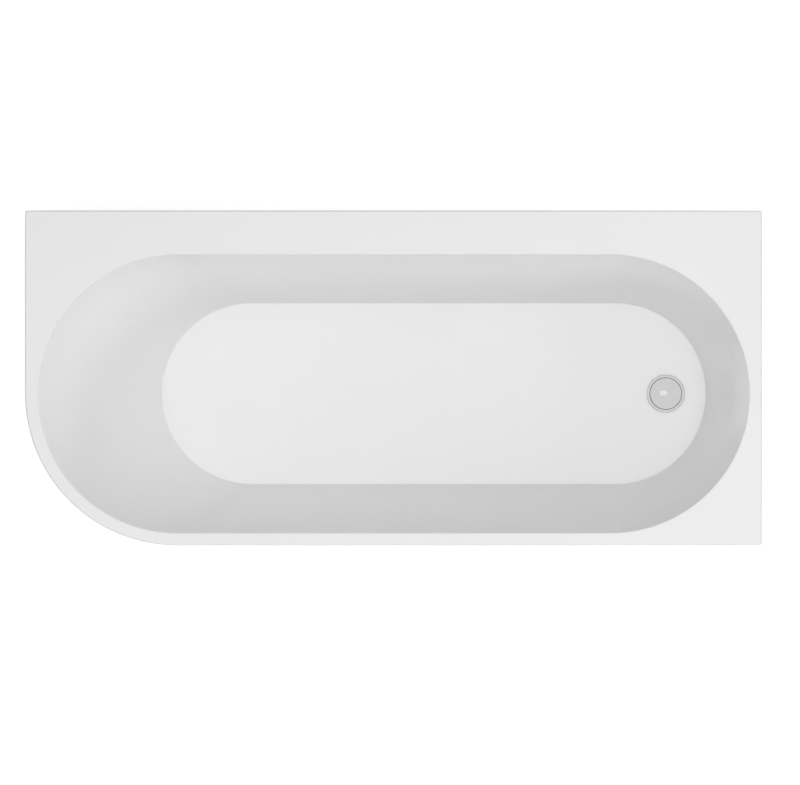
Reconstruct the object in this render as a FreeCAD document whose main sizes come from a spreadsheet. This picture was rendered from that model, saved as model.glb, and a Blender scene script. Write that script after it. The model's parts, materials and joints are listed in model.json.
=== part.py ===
import FreeCAD, Part
import math
import os
import re

import Sketcher
from FreeCAD import Placement, Rotation, Vector

# A J-shaped acrylic bath for a corner: two sides stand against walls, the front and the head end are closed
# by one wrap-round panel. X runs from the head end to the waste end, Y from the front to the rear wall, Z up.

# Driving dimensions in millimetres
SIZES = {
    # Outline of the rim
    "bath_length": 1650,
    "bath_width": 750,
    "rim_height": 580,
    "square_corner_radius": 6,
    "rim_width": 28,
    "deck_width": 98,
    "lip_height": 38,
    "lip_corner_radius": 2,
    "rim_edge_radius": 3.5,
    "lip_edge_radius": 2,
    # Basin
    "floor_height": 160,
    "side_run": 105,
    "head_run": 267,
    "waste_run": 83,
    "floor_fall": 6,
    "sheet_thickness": 5,
    "opening_edge_radius": 2.5,
    "floor_edge_radius": 3,
    # Backing and stiffeners
    "bond_gap": 0.3,
    "laminate_thickness": 3,
    "board_head_inset": 417,
    "board_side_gap": 32,
    "board_thickness": 15,
    "board_corner_radius": 70,
    "board_waste_gap": 80,
    "batten_end_gap": 250,
    "batten_width": 44,
    "batten_drop": 1,
    "batten_lip_gap": 2,
    # Leg frame
    "head_channel_inset": 525,
    "waste_channel_inset": 395,
    "channel_end_gap": 50,
    "channel_width": 40,
    "channel_height": 25,
    "channel_thickness": 2.5,
    "fold_radius": 4,
    "leg_end_gap": 50,
    "bracket_drop": 40,
    "bracket_web": 60,
    "bracket_flange": 26,
    "bracket_width": 50,
    # Legs
    "rod_radius": 6,
    "rod_spare": 41.3,
    "centre_rod_spare": 31.3,
    "rod_chamfer": 1.2,
    "rod_hole_clearance": 0.5,
    "rod_fit": 0.1,
    "board_hole_clearance": 3,
    "pad_radius": 29,
    "pad_edge": 1.5,
    "pad_rim": 6,
    "pad_cone_top": 14,
    "pad_boss_radius": 11,
    "pad_height": 30,
    "pad_socket_floor": 10,
    "rib_width": 3,
    "rib_bite": 2,
    "rib_top": 25,
    "rib_rim_gap": 4,
    "rib_count": 6,
    "nut_width": 18,
    "nut_height": 10,
    "nut_corner_relief": 0.1,
    # Screws and bolts
    "screw_radius": 2.5,
    "screw_head_radius": 5,
    "screw_head_top": 3.5,
    "screw_head_height": 2.5,
    "screw_length": 12,
    "screw_hole_clearance": 0.3,
    "recess_length": 5,
    "recess_width": 1.2,
    "recess_depth": 1.4,
    "channel_screw_edge": 45,
    "bolt_radius": 3,
    "bolt_head_width": 10,
    "bolt_head_height": 4,
    "bolt_length": 13,
    "bolt_nut_height": 5,
    # Wall brackets
    "wall_bracket_end_gap": 125,
    "wall_bracket_width": 40,
    "wall_bracket_thickness": 3,
    "wall_bracket_arm": 50,
    "wall_bracket_leg": 50,
    "wall_hole_radius": 3.5,
    "wall_hole_drop": 30,
    "bracket_screw_gap": 20,
    "bracket_screw_edge": 14,
    # Panel and its fixings
    "panel_thickness": 4,
    "panel_lip_gap": 1,
    "panel_overlap": 22,
    "panel_floor_gap": 3,
    "panel_bottom_return": 22,
    "panel_top_return": 8,
    "block_width": 70,
    "block_depth": 18,
    "block_height": 60,
    "block_drop": 12,
    "tie_width": 30,
    "tie_thickness": 3,
    "tie_leg": 56,
    "tie_seat": 33,
    "tie_bolt_edge": 16,
    "tie_screw_drop": 36,
    "angle_leg": 25,
    "angle_thickness": 2,
    "angle_top_gap": 84,
    "angle_floor_gap": 60,
    "angle_hole_radius": 3,
    "angle_hole_edge": 60,
    # Waste
    "waste_inset": 203,
    "waste_seat_depth": 0.5,
    "waste_seat_margin": 2.5,
    "waste_hole_clearance": 1.5,
    "waste_boss_radius": 46,
    "waste_flange_radius": 43,
    "waste_flange_thickness": 2.6,
    "waste_flange_edge": 0.8,
    "waste_flange_fall": 0.4,
    "waste_recess_radius": 37.8,
    "waste_recess_depth": 1.3,
    "waste_mouth_chamfer": 2,
    "tail_radius": 24,
    "tail_wall": 3,
    "tail_length": 49,
    "top_seal_thickness": 1,
    "top_seal_width": 15,
    "bottom_seal_thickness": 3,
    "bottom_seal_width": 13,
    "back_nut_radius": 35,
    "back_nut_height": 9,
    "thread_fit": 0.15,
    "spider_depth": 14,
    "spider_height": 6,
    "spider_arm_width": 4,
    "spider_hub_radius": 9,
    # Click plug
    "plug_travel": 10,
    "cap_radius": 36,
    "cap_edge_height": 2.8,
    "cap_edge_bevel": 0.7,
    "cap_crown": 2.2,
    "plug_seal_gap": 0.7,
    "plug_seal_bore": 24.5,
    "plug_seal_thickness": 2,
    "seal_seat_gap": 0.05,
    "stem_radius": 3,
    "stem_tail_radius": 2.4,
    "stem_tail_length": 28,
    "piston_radius": 4.4,
    "piston_height": 3,
    "stop_gap": 0.5,
    "slide_fit": 0.2,
    "cartridge_radius": 6,
    "cartridge_wall": 1.4,
    "cartridge_top": 0.5,
    "cartridge_shoulder": 3.5,
    "cartridge_length": 36,
    "cartridge_collar_radius": 8,
    "cartridge_collar_height": 3,
    "end_cap_height": 3,
    "end_cap_fit": 0.05,
    "spring_wire": 0.8,
    "spring_turns": 6,
    "spring_end_gap": 0.05,
    # Trap
    "trap_washer_thickness": 2,
    "trap_bore": 18,
    "trap_wall": 3,
    "collar_inset": 0.4,
    "collar_height": 4,
    "neck_radius": 21.8,
    "neck_height": 20,
    "shoulder_height": 5,
    "trap_radius": 45,
    "trap_height": 78,
    "dip_gap": 6,
    "outlet_drop": 37,
    "outlet_length": 80,
    "outlet_radius": 26,
    "pipe_radius": 20,
    "pipe_clearance": 0.2,
    "socket_depth": 24,
    "outlet_bore_run": 7,
    "union_lip": 4,
    "union_reach": 20,
    "union_radius": 30,
    "union_gap": 0.2,
    "trap_cap_wall": 3.2,
    "trap_cap_floor": 4,
    "trap_cap_height": 16,
    "trap_cap_seal_height": 4,
    "outlet_nut_radius": 31.5,
    "outlet_nut_engagement": 20,
    "outlet_nut_end": 5,
    "outlet_seal_length": 6,
    "outlet_seal_inset": 0.5,
    "pipe_seal_clearance": 0.4,
    "pipe_nut_clearance": 0.8,
    "lug_height": 2.5,
    "lug_width": 5,
    "lug_bite": 1,
    "lug_count": 8,
}

DOC = FreeCAD.newDocument("corner_bath")
SHEET = DOC.addObject("Spreadsheet::Sheet", "Sizes")
for row, (alias, size) in enumerate(SIZES.items(), start=1):
    SHEET.set(f"A{row}", alias)
    SHEET.set(f"B{row}", str(size))
    SHEET.setAlias(f"B{row}", alias)
DOC.recompute()

# Places worked out from the driving dimensions, as formulas on the sheet
HALF_LENGTH = "(bath_length / 2)"
HALF_WIDTH = "(bath_width / 2)"
OPENING_RADIUS = "((bath_width - rim_width - deck_width) / 2)"
CORNER_RADIUS = f"({OPENING_RADIUS} + rim_width)"
AXIS_Y = f"({CORNER_RADIUS} - bath_width / 2)"
OPENING_HEAD_X = f"({CORNER_RADIUS} - bath_length / 2)"
OPENING_WASTE_X = f"(bath_length / 2 - {CORNER_RADIUS})"
RIM_UNDERSIDE = "(rim_height - sheet_thickness)"
RIM_MIDDLE = "(rim_height - sheet_thickness / 2)"
LIP_BOTTOM = "(rim_height - lip_height)"
FLOOR_Z = "floor_height"
FLOOR_RADIUS = f"({OPENING_RADIUS} - side_run)"
FLOOR_HEAD_X = f"(rim_width + head_run + {FLOOR_RADIUS} - bath_length / 2)"
FLOOR_WASTE_X = f"(bath_length / 2 - rim_width - waste_run - {FLOOR_RADIUS})"
FALL_SLOPE = f"(floor_fall / ({FLOOR_WASTE_X} - {FLOOR_HEAD_X} + 2 * {FLOOR_RADIUS}))"
WASTE_X = "(bath_length / 2 - waste_inset)"
WASTE_SEAT_Z = f"({FLOOR_Z} - waste_seat_depth)"
LAMINATE_INSIDE = "(sheet_thickness + bond_gap)"
LAMINATE_OUTSIDE = "(sheet_thickness + bond_gap + laminate_thickness)"
LAMINATE_BOTTOM = f"({FLOOR_Z} - {LAMINATE_OUTSIDE})"
FRAME_TOP = f"({LAMINATE_BOTTOM} - board_thickness)"
BOARD_REACH = f"({FLOOR_RADIUS} - board_side_gap)"
BATTEN_LENGTH = "(bath_length - 2 * batten_end_gap)"
HEAD_CHANNEL_X = "(head_channel_inset - bath_length / 2)"
WASTE_CHANNEL_X = "(bath_length / 2 - waste_channel_inset)"
CENTRE_LEG_X = f"(({HEAD_CHANNEL_X} + {WASTE_CHANNEL_X}) / 2)"
CHANNEL_REACH = f"({CORNER_RADIUS} - channel_end_gap)"
LEG_REACH = f"({CHANNEL_REACH} - leg_end_gap)"
CHANNEL_SCREW_REACH = f"({BOARD_REACH} - channel_screw_edge)"
ROD_HOLE_RADIUS = "(rod_radius + rod_hole_clearance)"
SCREW_HOLE_RADIUS = "(screw_radius + screw_hole_clearance)"
BOLT_HOLE_RADIUS = "(bolt_radius + screw_hole_clearance)"
PANEL_INSET = "(sheet_thickness + panel_lip_gap)"
PANEL_INSIDE = f"({PANEL_INSET} + panel_thickness)"
PANEL_TOP = f"({LIP_BOTTOM} + panel_overlap)"
TIE_FACE_Y = f"({PANEL_INSIDE} + block_depth - bath_width / 2)"
TIE_TOP = f"({FRAME_TOP} - channel_thickness)"

LEFT, RIGHT = 1, -1
SAME_LEVEL = 0.01
SAME_POINT = 0.001
LEAST_CUT = 1
PIECES = []


def formula(text):
    """Turn plain size names into references to the sheet's cells."""
    return re.sub(r"\b[a-z]+(?:_[a-z]+)+\b", r"Sizes.\g<0>", text)


def number(text):
    """Work out a formula as a plain number."""
    result = SHEET.evalExpression(formula(text))
    return float(getattr(result, "Value", result))


def bind(target, path, text):
    """Tie a property of an object to a formula on the sheet."""
    target.setExpression(path, formula(text))


def place(piece, x="0", y="0", z="0", turn=Rotation()):
    """Put a piece at a place given by formulas."""
    piece.Placement = Placement(Vector(number(x), number(y), number(z)), turn)
    for axis, text in zip("xyz", (x, y, z)):
        bind(piece, f"Placement.Base.{axis}", text)
    return piece


def named(kind, label, **sizes):
    """Make an object whose properties follow formulas."""
    made = DOC.addObject(kind, label)
    made.Label = label
    for path, text in sizes.items():
        setattr(made, path, number(text))
        bind(made, path, text)
    return made


def keep(piece):
    """Add an object to the pieces that are written out."""
    PIECES.append(piece)
    return piece


def new_body(label):
    """Start a piece of the bath."""
    return keep(named("PartDesign::Body", label))


def sketch_on(body, plane, name, height="0", slope=None):
    """Start a sketch parallel to one of the body's planes, at a height along its normal."""
    support = next(item for item in body.Origin.OriginFeatures if item.Role == plane)
    sketch = body.newObject("Sketcher::SketchObject", name)
    sketch.AttachmentSupport = [(support, "")]
    sketch.MapMode = "FlatFace"
    turn = Rotation(Vector(0, 1, 0), math.degrees(math.atan(number(slope)))) if slope else Rotation()
    sketch.AttachmentOffset = Placement(Vector(0, 0, number(height)), turn)
    bind(sketch, "AttachmentOffset.Base.z", height)
    if slope:
        bind(sketch, "AttachmentOffset.Rotation.Angle", f"atan({slope})")
    return sketch


def fix_point(sketch, curve, point, x, y):
    """Hold a point of a sketch at formulas measured from the origin."""
    for kind, text in (("DistanceX", x), ("DistanceY", y)):
        index = sketch.addConstraint(Sketcher.Constraint(kind, -1, 1, curve, point, number(text)))
        bind(sketch, f"Constraints[{index}]", text)


def fix_radius(sketch, curve, radius):
    """Hold a circle or an arc at a radius."""
    index = sketch.addConstraint(Sketcher.Constraint("Radius", curve, number(radius)))
    bind(sketch, f"Constraints[{index}]", radius)


def circle(sketch, radius, x="0", y="0"):
    """Draw a circle."""
    centre = Vector(number(x), number(y), 0)
    curve = sketch.addGeometry(Part.Circle(centre, Vector(0, 0, 1), number(radius)))
    fix_radius(sketch, curve, radius)
    fix_point(sketch, curve, 3, x, y)


def arc_between(start, end, radius, turn):
    """Give the arc of a radius from one point to the next, and which of its ends comes first."""
    chord = end - start
    reach = math.sqrt(radius ** 2 - chord.Length ** 2 / 4)
    centre = (start + end) / 2 + Vector(-chord.y, chord.x, 0) / chord.Length * reach * turn
    first, last = (start, end) if turn == LEFT else (end, start)
    angles = [math.atan2(point.y - centre.y, point.x - centre.x) for point in (first, last)]
    return Part.ArcOfCircle(Part.Circle(centre, Vector(0, 0, 1), radius), *angles)


def outline(sketch, corners):
    """Draw a closed outline. A corner is x, y and, where an arc leads on, its radius and turn."""
    points = [Vector(number(corner[0]), number(corner[1]), 0) for corner in corners]
    runs = []
    for index, corner in enumerate(corners):
        start, end = points[index], points[(index + 1) % len(points)]
        if len(corner) == 2:
            runs.append((sketch.addGeometry(Part.LineSegment(start, end)), 1, 2))
            continue
        radius, turn = corner[2:]
        curve = sketch.addGeometry(arc_between(start, end, number(radius), turn))
        runs.append((curve, 1, 2) if turn == LEFT else (curve, 2, 1))
    for index, corner in enumerate(corners):
        curve, first, last = runs[index]
        following = runs[(index + 1) % len(runs)]
        sketch.addConstraint(Sketcher.Constraint("Coincident", curve, last, following[0], following[1]))
        fix_point(sketch, curve, first, corner[0], corner[1])
        if len(corner) > 2:
            fix_radius(sketch, curve, corner[2])


def rounded_box(sketch, left, right, front, rear, radii):
    """Draw a rectangle whose corners are rounded: front left, front right, rear right, rear left."""
    front_left, front_right, rear_right, rear_left = radii
    outline(sketch, [
        (f"{left} + {front_left}", front),
        (f"{right} - {front_right}", front, front_right, LEFT),
        (right, f"{front} + {front_right}"),
        (right, f"{rear} - {rear_right}", rear_right, LEFT),
        (f"{right} - {rear_right}", rear),
        (f"{left} + {rear_left}", rear, rear_left, LEFT),
        (left, f"{rear} - {rear_left}"),
        (left, f"{front} + {front_left}", front_left, LEFT),
    ])


def rim_outline(sketch, inset, square_radius):
    """Draw the bath's outline seen from above, moved inwards."""
    rounded_box(
        sketch,
        f"({inset} - {HALF_LENGTH})",
        f"({HALF_LENGTH} - {inset})",
        f"({inset} - {HALF_WIDTH})",
        f"({HALF_WIDTH} - {inset})",
        [f"({CORNER_RADIUS} - {inset})", square_radius, square_radius, square_radius],
    )


def stadium(sketch, radius, head_x, waste_x):
    """Draw a long slot with round ends on the basin's centre line."""
    front, rear = f"{AXIS_Y} - {radius}", f"{AXIS_Y} + {radius}"
    outline(sketch, [
        (head_x, front),
        (waste_x, front, radius, LEFT),
        (f"{waste_x} + {radius}", AXIS_Y, radius, LEFT),
        (waste_x, rear),
        (head_x, rear, radius, LEFT),
        (f"{head_x} - {radius}", AXIS_Y, radius, LEFT),
    ])


def panel_strip(sketch, inset, width):
    """Draw a strip that follows the head end, the round corner and the front."""
    inner = f"({inset} + {width})"
    end_gap = PANEL_INSET
    outline(sketch, [
        (f"{inset} - {HALF_LENGTH}", f"{HALF_WIDTH} - {end_gap}"),
        (f"{inset} - {HALF_LENGTH}", AXIS_Y, f"{CORNER_RADIUS} - {inset}", LEFT),
        (OPENING_HEAD_X, f"{inset} - {HALF_WIDTH}"),
        (f"{HALF_LENGTH} - {end_gap}", f"{inset} - {HALF_WIDTH}"),
        (f"{HALF_LENGTH} - {end_gap}", f"{inner} - {HALF_WIDTH}"),
        (OPENING_HEAD_X, f"{inner} - {HALF_WIDTH}", f"{CORNER_RADIUS} - {inner}", RIGHT),
        (f"{inner} - {HALF_LENGTH}", AXIS_Y),
        (f"{inner} - {HALF_LENGTH}", f"{HALF_WIDTH} - {end_gap}"),
    ])


def extrude(body, kind, sketch, length, reverse=False):
    """Raise or cut a sketch by a length along its normal."""
    feature = body.newObject(f"PartDesign::{kind}", f"{sketch.Name}_{kind.lower()}")
    feature.Profile = sketch
    feature.Reversed = reverse
    feature.Length = number(length)
    bind(feature, "Length", length)
    return feature


def revolve(body, kind, sketch):
    """Turn a sketch right round its vertical axis."""
    feature = body.newObject(f"PartDesign::{kind}", f"{sketch.Name}_{kind.lower()}")
    feature.Profile = sketch
    feature.ReferenceAxis = (sketch, ["V_Axis"])
    feature.Angle = 360
    return feature


def loft(body, kind, first, last):
    """Join two sketches by straight lines."""
    feature = body.newObject(f"PartDesign::{kind}", f"{first.Name}_{kind.lower()}")
    feature.Profile = first
    feature.Sections = [last]
    feature.Ruled = True
    return feature


def fillet(body, base, name, radius, wanted):
    """Round the edges of a feature that pass a test."""
    DOC.recompute()
    edges = [f"Edge{index}" for index, edge in enumerate(base.Shape.Edges, start=1) if wanted(edge)]
    feature = body.newObject("PartDesign::Fillet", name)
    feature.Base = (base, edges)
    feature.Radius = number(radius)
    bind(feature, "Radius", radius)
    return feature


def level_at(height):
    """Give a test for edges that lie at one height."""
    level = number(height)
    return lambda edge: max(abs(edge.BoundBox.ZMin - level), abs(edge.BoundBox.ZMax - level)) < SAME_LEVEL


def bounding_face(base, x, y, z):
    """Give a test for the edges of the face that holds a point."""
    DOC.recompute()
    point = Part.Vertex(number(x), number(y), number(z))
    face = next(item for item in base.Shape.Faces if item.distToShape(point)[0] < SAME_POINT)
    return lambda edge: any(edge.isSame(side) for side in face.Edges)


def turned(label, profile):
    """Make a round piece from its half section."""
    body = new_body(label)
    sketch = sketch_on(body, "XZ_Plane", f"{label}_section")
    outline(sketch, profile)
    revolve(body, "Revolution", sketch)
    return body


def ring(label, inner, outer, bottom, top):
    """Make a flat ring."""
    return turned(label, [(inner, bottom), (outer, bottom), (outer, top), (inner, top)])


def drill(body, plane, name, height, radius, centres, depth):
    """Cut round holes from a plane against its normal."""
    sketch = sketch_on(body, plane, name, height)
    for x, y in centres:
        circle(sketch, radius, x, y)
    return extrude(body, "Pocket", sketch, depth)


def grip_lugs(body, radius, bottom, height):
    """Stand lugs round a nut or cap for a hand or a wrench."""
    sketch = sketch_on(body, "XY_Plane", f"{body.Label}_lug", bottom)
    inner, outer = f"({radius} - lug_bite)", f"({radius} + lug_height)"
    outline(sketch, [
        (inner, "-lug_width / 2"),
        (outer, "-lug_width / 4"),
        (outer, "lug_width / 4"),
        (inner, "lug_width / 2"),
    ])
    lug = extrude(body, "Pad", sketch, height)
    pattern = body.newObject("PartDesign::PolarPattern", f"{body.Label}_lugs")
    pattern.Originals = [lug]
    pattern.Axis = (sketch, ["N_Axis"])
    pattern.Angle = 360
    pattern.Occurrences = int(number("lug_count"))
    bind(pattern, "Occurrences", "lug_count")
    body.Tip = pattern


def group(label, members):
    """Gather identical fasteners under one name."""
    made = DOC.addObject("Part::Compound", label)
    made.Label = label
    made.Links = members
    return keep(made)


def cross_recess(name, bottom):
    """Make the two crossed slots that a screwdriver fits."""
    ways = {"along": ("recess_length", "recess_width"), "across": ("recess_width", "recess_length")}
    slots = []
    for way, (length, width) in ways.items():
        slot = named("Part::Box", f"{name}_{way}", Length=length, Width=width, Height="recess_depth")
        slots.append(place(slot, f"-{length} / 2", f"-{width} / 2", bottom))
    made = DOC.addObject("Part::Fuse", name)
    made.Base, made.Tool = slots
    return made


def screw(name, grip):
    """Make a pan-head screw that points up, with its head under the origin."""
    shank = named("Part::Cylinder", f"{name}_shank", Radius="screw_radius", Height=f"{grip} + screw_length")
    head = named(
        "Part::Cone",
        f"{name}_head",
        Radius1="screw_head_top",
        Radius2="screw_head_radius",
        Height="screw_head_height",
    )
    place(head, z="-screw_head_height")
    blank = DOC.addObject("Part::Fuse", f"{name}_blank")
    blank.Base, blank.Tool = shank, head
    made = DOC.addObject("Part::Cut", name)
    made.Base, made.Tool = blank, cross_recess(f"{name}_recess", "-screw_head_height")
    return made


def hexagon(name, width, height):
    """Make a six-sided prism of a width across its flats, with its corners turned round."""
    prism = named("Part::Prism", f"{name}_prism", Circumradius=f"{width} / 2 / cos(30)", Height=height)
    prism.Polygon = 6
    relief = f"({width} / 2 + nut_corner_relief)"
    ball = named("Part::Sphere", f"{name}_ball", Radius=f"sqrt({relief}^2 + ({height} / 2)^2)")
    place(ball, z=f"{height} / 2")
    made = DOC.addObject("Part::Common", name)
    made.Base, made.Tool = prism, ball
    return made


def nut(name, width, height, bore):
    """Make a plain hexagon nut that stands on the origin."""
    hole = named("Part::Cylinder", f"{name}_bore", Radius=bore, Height=height)
    made = DOC.addObject("Part::Cut", name)
    made.Base, made.Tool = hexagon(f"{name}_blank", width, height), hole
    return made


def slope_base(depth):
    """Height, at the middle of the bath, of a floor that lies a depth under the basin's floor."""
    return f"({FLOOR_Z} - {depth} + {FALL_SLOPE} * {WASTE_X})"


def basin_solid(body, kind, name, top, depth, offset, level=False):
    """Loft the basin's form, offset outwards, between the rim and a level or falling floor."""
    mouth = sketch_on(body, "XY_Plane", f"{name}_mouth", top)
    stadium(mouth, f"({OPENING_RADIUS} + {offset})", OPENING_HEAD_X, OPENING_WASTE_X)
    if level:
        floor = sketch_on(body, "XY_Plane", f"{name}_floor", f"{FLOOR_Z} - {depth}")
    else:
        floor = sketch_on(body, "XY_Plane", f"{name}_floor", slope_base(depth), FALL_SLOPE)
    stadium(floor, f"({FLOOR_RADIUS} + {offset})", FLOOR_HEAD_X, FLOOR_WASTE_X)
    return loft(body, kind, mouth, floor)


def acrylic_shell():
    """The rim, its turned-down lip, the basin and its floor, formed from one sheet."""
    body = new_body("acrylic_shell")
    outside = sketch_on(body, "XY_Plane", "rim", LIP_BOTTOM)
    rim_outline(outside, "0", "square_corner_radius")
    rim = extrude(body, "Pad", outside, "lip_height")
    rim = fillet(body, rim, "rim_edge", "rim_edge_radius", level_at("rim_height"))
    fillet(body, rim, "lip_edge", "lip_edge_radius", level_at(LIP_BOTTOM))
    inside = sketch_on(body, "XY_Plane", "lip", LIP_BOTTOM)
    rim_outline(inside, "sheet_thickness", "lip_corner_radius")
    extrude(body, "Pocket", inside, "lip_height - sheet_thickness", reverse=True)

    basin_solid(body, "AdditiveLoft", "outside", RIM_MIDDLE, "sheet_thickness", "sheet_thickness")
    basin = basin_solid(body, "SubtractiveLoft", "inside", "rim_height", "0", "0")
    at_rim = level_at("rim_height")
    head_x, waste_x, axis_y, rim_z = map(number, (OPENING_HEAD_X, OPENING_WASTE_X, AXIS_Y, "rim_height"))
    spine = Part.makeLine(Vector(head_x, axis_y, rim_z), Vector(waste_x, axis_y, rim_z))
    radius = number(OPENING_RADIUS)
    basin = fillet(
        body,
        basin,
        "opening_edge",
        "opening_edge_radius",
        lambda edge: at_rim(edge) and abs(edge.distToShape(spine)[0] - radius) < SAME_LEVEL,
    )
    inner_floor = bounding_face(basin, "0", AXIS_Y, slope_base("0"))
    basin = fillet(body, basin, "floor_edge", "floor_edge_radius", inner_floor)
    outer_floor = bounding_face(basin, "0", AXIS_Y, slope_base("sheet_thickness"))
    fillet(body, basin, "underside_edge", "floor_edge_radius + sheet_thickness", outer_floor)

    boss = sketch_on(body, "XY_Plane", "waste_boss", WASTE_SEAT_Z)
    circle(boss, "waste_boss_radius", WASTE_X, AXIS_Y)
    extrude(body, "Pad", boss, "sheet_thickness", reverse=True)
    seat = sketch_on(body, "XY_Plane", "waste_seat", WASTE_SEAT_Z)
    circle(seat, "waste_flange_radius + waste_seat_margin", WASTE_X, AXIS_Y)
    extrude(body, "Pocket", seat, "waste_seat_depth + floor_fall", reverse=True)
    drill(
        body,
        "XY_Plane",
        "waste_hole",
        WASTE_SEAT_Z,
        "tail_radius + waste_hole_clearance",
        [(WASTE_X, AXIS_Y)],
        "2 * sheet_thickness",
    )


def glassfibre_backing():
    """The laminate under the basin: it follows the falling floor inside and is level underneath."""
    body = new_body("glassfibre_backing")
    basin_solid(body, "AdditiveLoft", "laminate", RIM_MIDDLE, LAMINATE_OUTSIDE, LAMINATE_OUTSIDE, level=True)
    skin = basin_solid(
        body, "SubtractiveLoft", "laminate_hollow", RIM_MIDDLE, LAMINATE_INSIDE, LAMINATE_INSIDE
    )
    floor = bounding_face(skin, "0", AXIS_Y, slope_base(LAMINATE_INSIDE))
    skin = fillet(body, skin, "laminate_hollow_edge", "floor_edge_radius + sheet_thickness", floor)
    under = bounding_face(skin, "0", AXIS_Y, LAMINATE_BOTTOM)
    fillet(body, skin, "laminate_edge", f"floor_edge_radius + {LAMINATE_OUTSIDE}", under)
    trim = sketch_on(body, "XY_Plane", "laminate_trim", f"{RIM_UNDERSIDE} - bond_gap")
    outline(trim, [
        (f"-{HALF_LENGTH}", f"-{HALF_WIDTH}"),
        (HALF_LENGTH, f"-{HALF_WIDTH}"),
        (HALF_LENGTH, HALF_WIDTH),
        (f"-{HALF_LENGTH}", HALF_WIDTH),
    ])
    extrude(body, "Pocket", trim, "sheet_thickness + bond_gap", reverse=True)
    drill(
        body,
        "XY_Plane",
        "laminate_waste_hole",
        FLOOR_Z,
        "waste_boss_radius + bond_gap",
        [(WASTE_X, AXIS_Y)],
        f"2 * {LAMINATE_OUTSIDE}",
    )


def base_board():
    """The board bonded under the floor, with a hole for the middle leg's rod."""
    body = new_body("base_board")
    sketch = sketch_on(body, "XY_Plane", "board", FRAME_TOP)
    rounded_box(
        sketch,
        f"(board_head_inset - {HALF_LENGTH})",
        f"({WASTE_X} - board_waste_gap)",
        f"({AXIS_Y} - {BOARD_REACH})",
        f"({AXIS_Y} + {BOARD_REACH})",
        ["board_corner_radius"] * 4,
    )
    extrude(body, "Pad", sketch, "board_thickness")
    drill(
        body,
        "XY_Plane",
        "board_rod_hole",
        LAMINATE_BOTTOM,
        "rod_radius + board_hole_clearance",
        [(CENTRE_LEG_X, AXIS_Y)],
        "board_thickness",
    )


def rear_batten():
    """The timber under the rear deck that takes the wall brackets."""
    batten = keep(named(
        "Part::Box",
        "rear_batten",
        Length=BATTEN_LENGTH,
        Width="batten_width",
        Height="lip_height - sheet_thickness + batten_drop",
    ))
    place(
        batten,
        f"-{BATTEN_LENGTH} / 2",
        f"{HALF_WIDTH} - sheet_thickness - batten_lip_gap - batten_width",
        f"{LIP_BOTTOM} - batten_drop",
    )


# Leg frame
ENDS = {"head": HEAD_CHANNEL_X, "waste": WASTE_CHANNEL_X}
SIDES = {"front": f"({AXIS_Y} - {LEG_REACH})", "rear": f"({AXIS_Y} + {LEG_REACH})"}
CHANNEL_FRONT_Y = f"({AXIS_Y} - {CHANNEL_REACH})"
TIE_BOLT_Y = f"({CHANNEL_FRONT_Y} + tie_bolt_edge)"
HAT_SCREWS = [
    (f"{x} * (bracket_web + bracket_flange) / 2", f"{y} * bracket_width / 4")
    for x in (-1, 1)
    for y in (-1, 1)
]


def leg_channel(end):
    """A folded steel channel across the bath, open downwards, with holes for two legs, screws and a tie."""
    label = f"{end}_channel"
    body = new_body(label)
    section = sketch_on(body, "XZ_Plane", f"{label}_section", f"-{CHANNEL_REACH}")
    half, wall = "channel_width / 2", "channel_thickness"
    outline(section, [
        (f"-{half}", "-channel_height"),
        (f"{wall} - {half}", "-channel_height"),
        (f"{wall} - {half}", "-fold_radius", f"fold_radius - {wall}", RIGHT),
        (f"fold_radius - {half}", f"-{wall}"),
        (f"{half} - fold_radius", f"-{wall}", f"fold_radius - {wall}", RIGHT),
        (f"{half} - {wall}", "-fold_radius"),
        (f"{half} - {wall}", "-channel_height"),
        (half, "-channel_height"),
        (half, "-fold_radius", "fold_radius", LEFT),
        (f"{half} - fold_radius", "0"),
        (f"fold_radius - {half}", "0", "fold_radius", LEFT),
        (f"-{half}", "-fold_radius"),
    ])
    extrude(body, "Pad", section, f"2 * {CHANNEL_REACH}")
    legs = [("0", f"-{LEG_REACH}"), ("0", LEG_REACH)]
    drill(body, "XY_Plane", f"{label}_rod_holes", "0", ROD_HOLE_RADIUS, legs, wall)
    screws = [("0", f"-{CHANNEL_SCREW_REACH}"), ("0", CHANNEL_SCREW_REACH)]
    drill(body, "XY_Plane", f"{label}_screw_holes", "0", SCREW_HOLE_RADIUS, screws, wall)
    tie = [("0", f"tie_bolt_edge - {CHANNEL_REACH}")]
    drill(body, "XY_Plane", f"{label}_tie_hole", "0", BOLT_HOLE_RADIUS, tie, wall)
    place(body, ENDS[end], AXIS_Y, FRAME_TOP)


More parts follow.
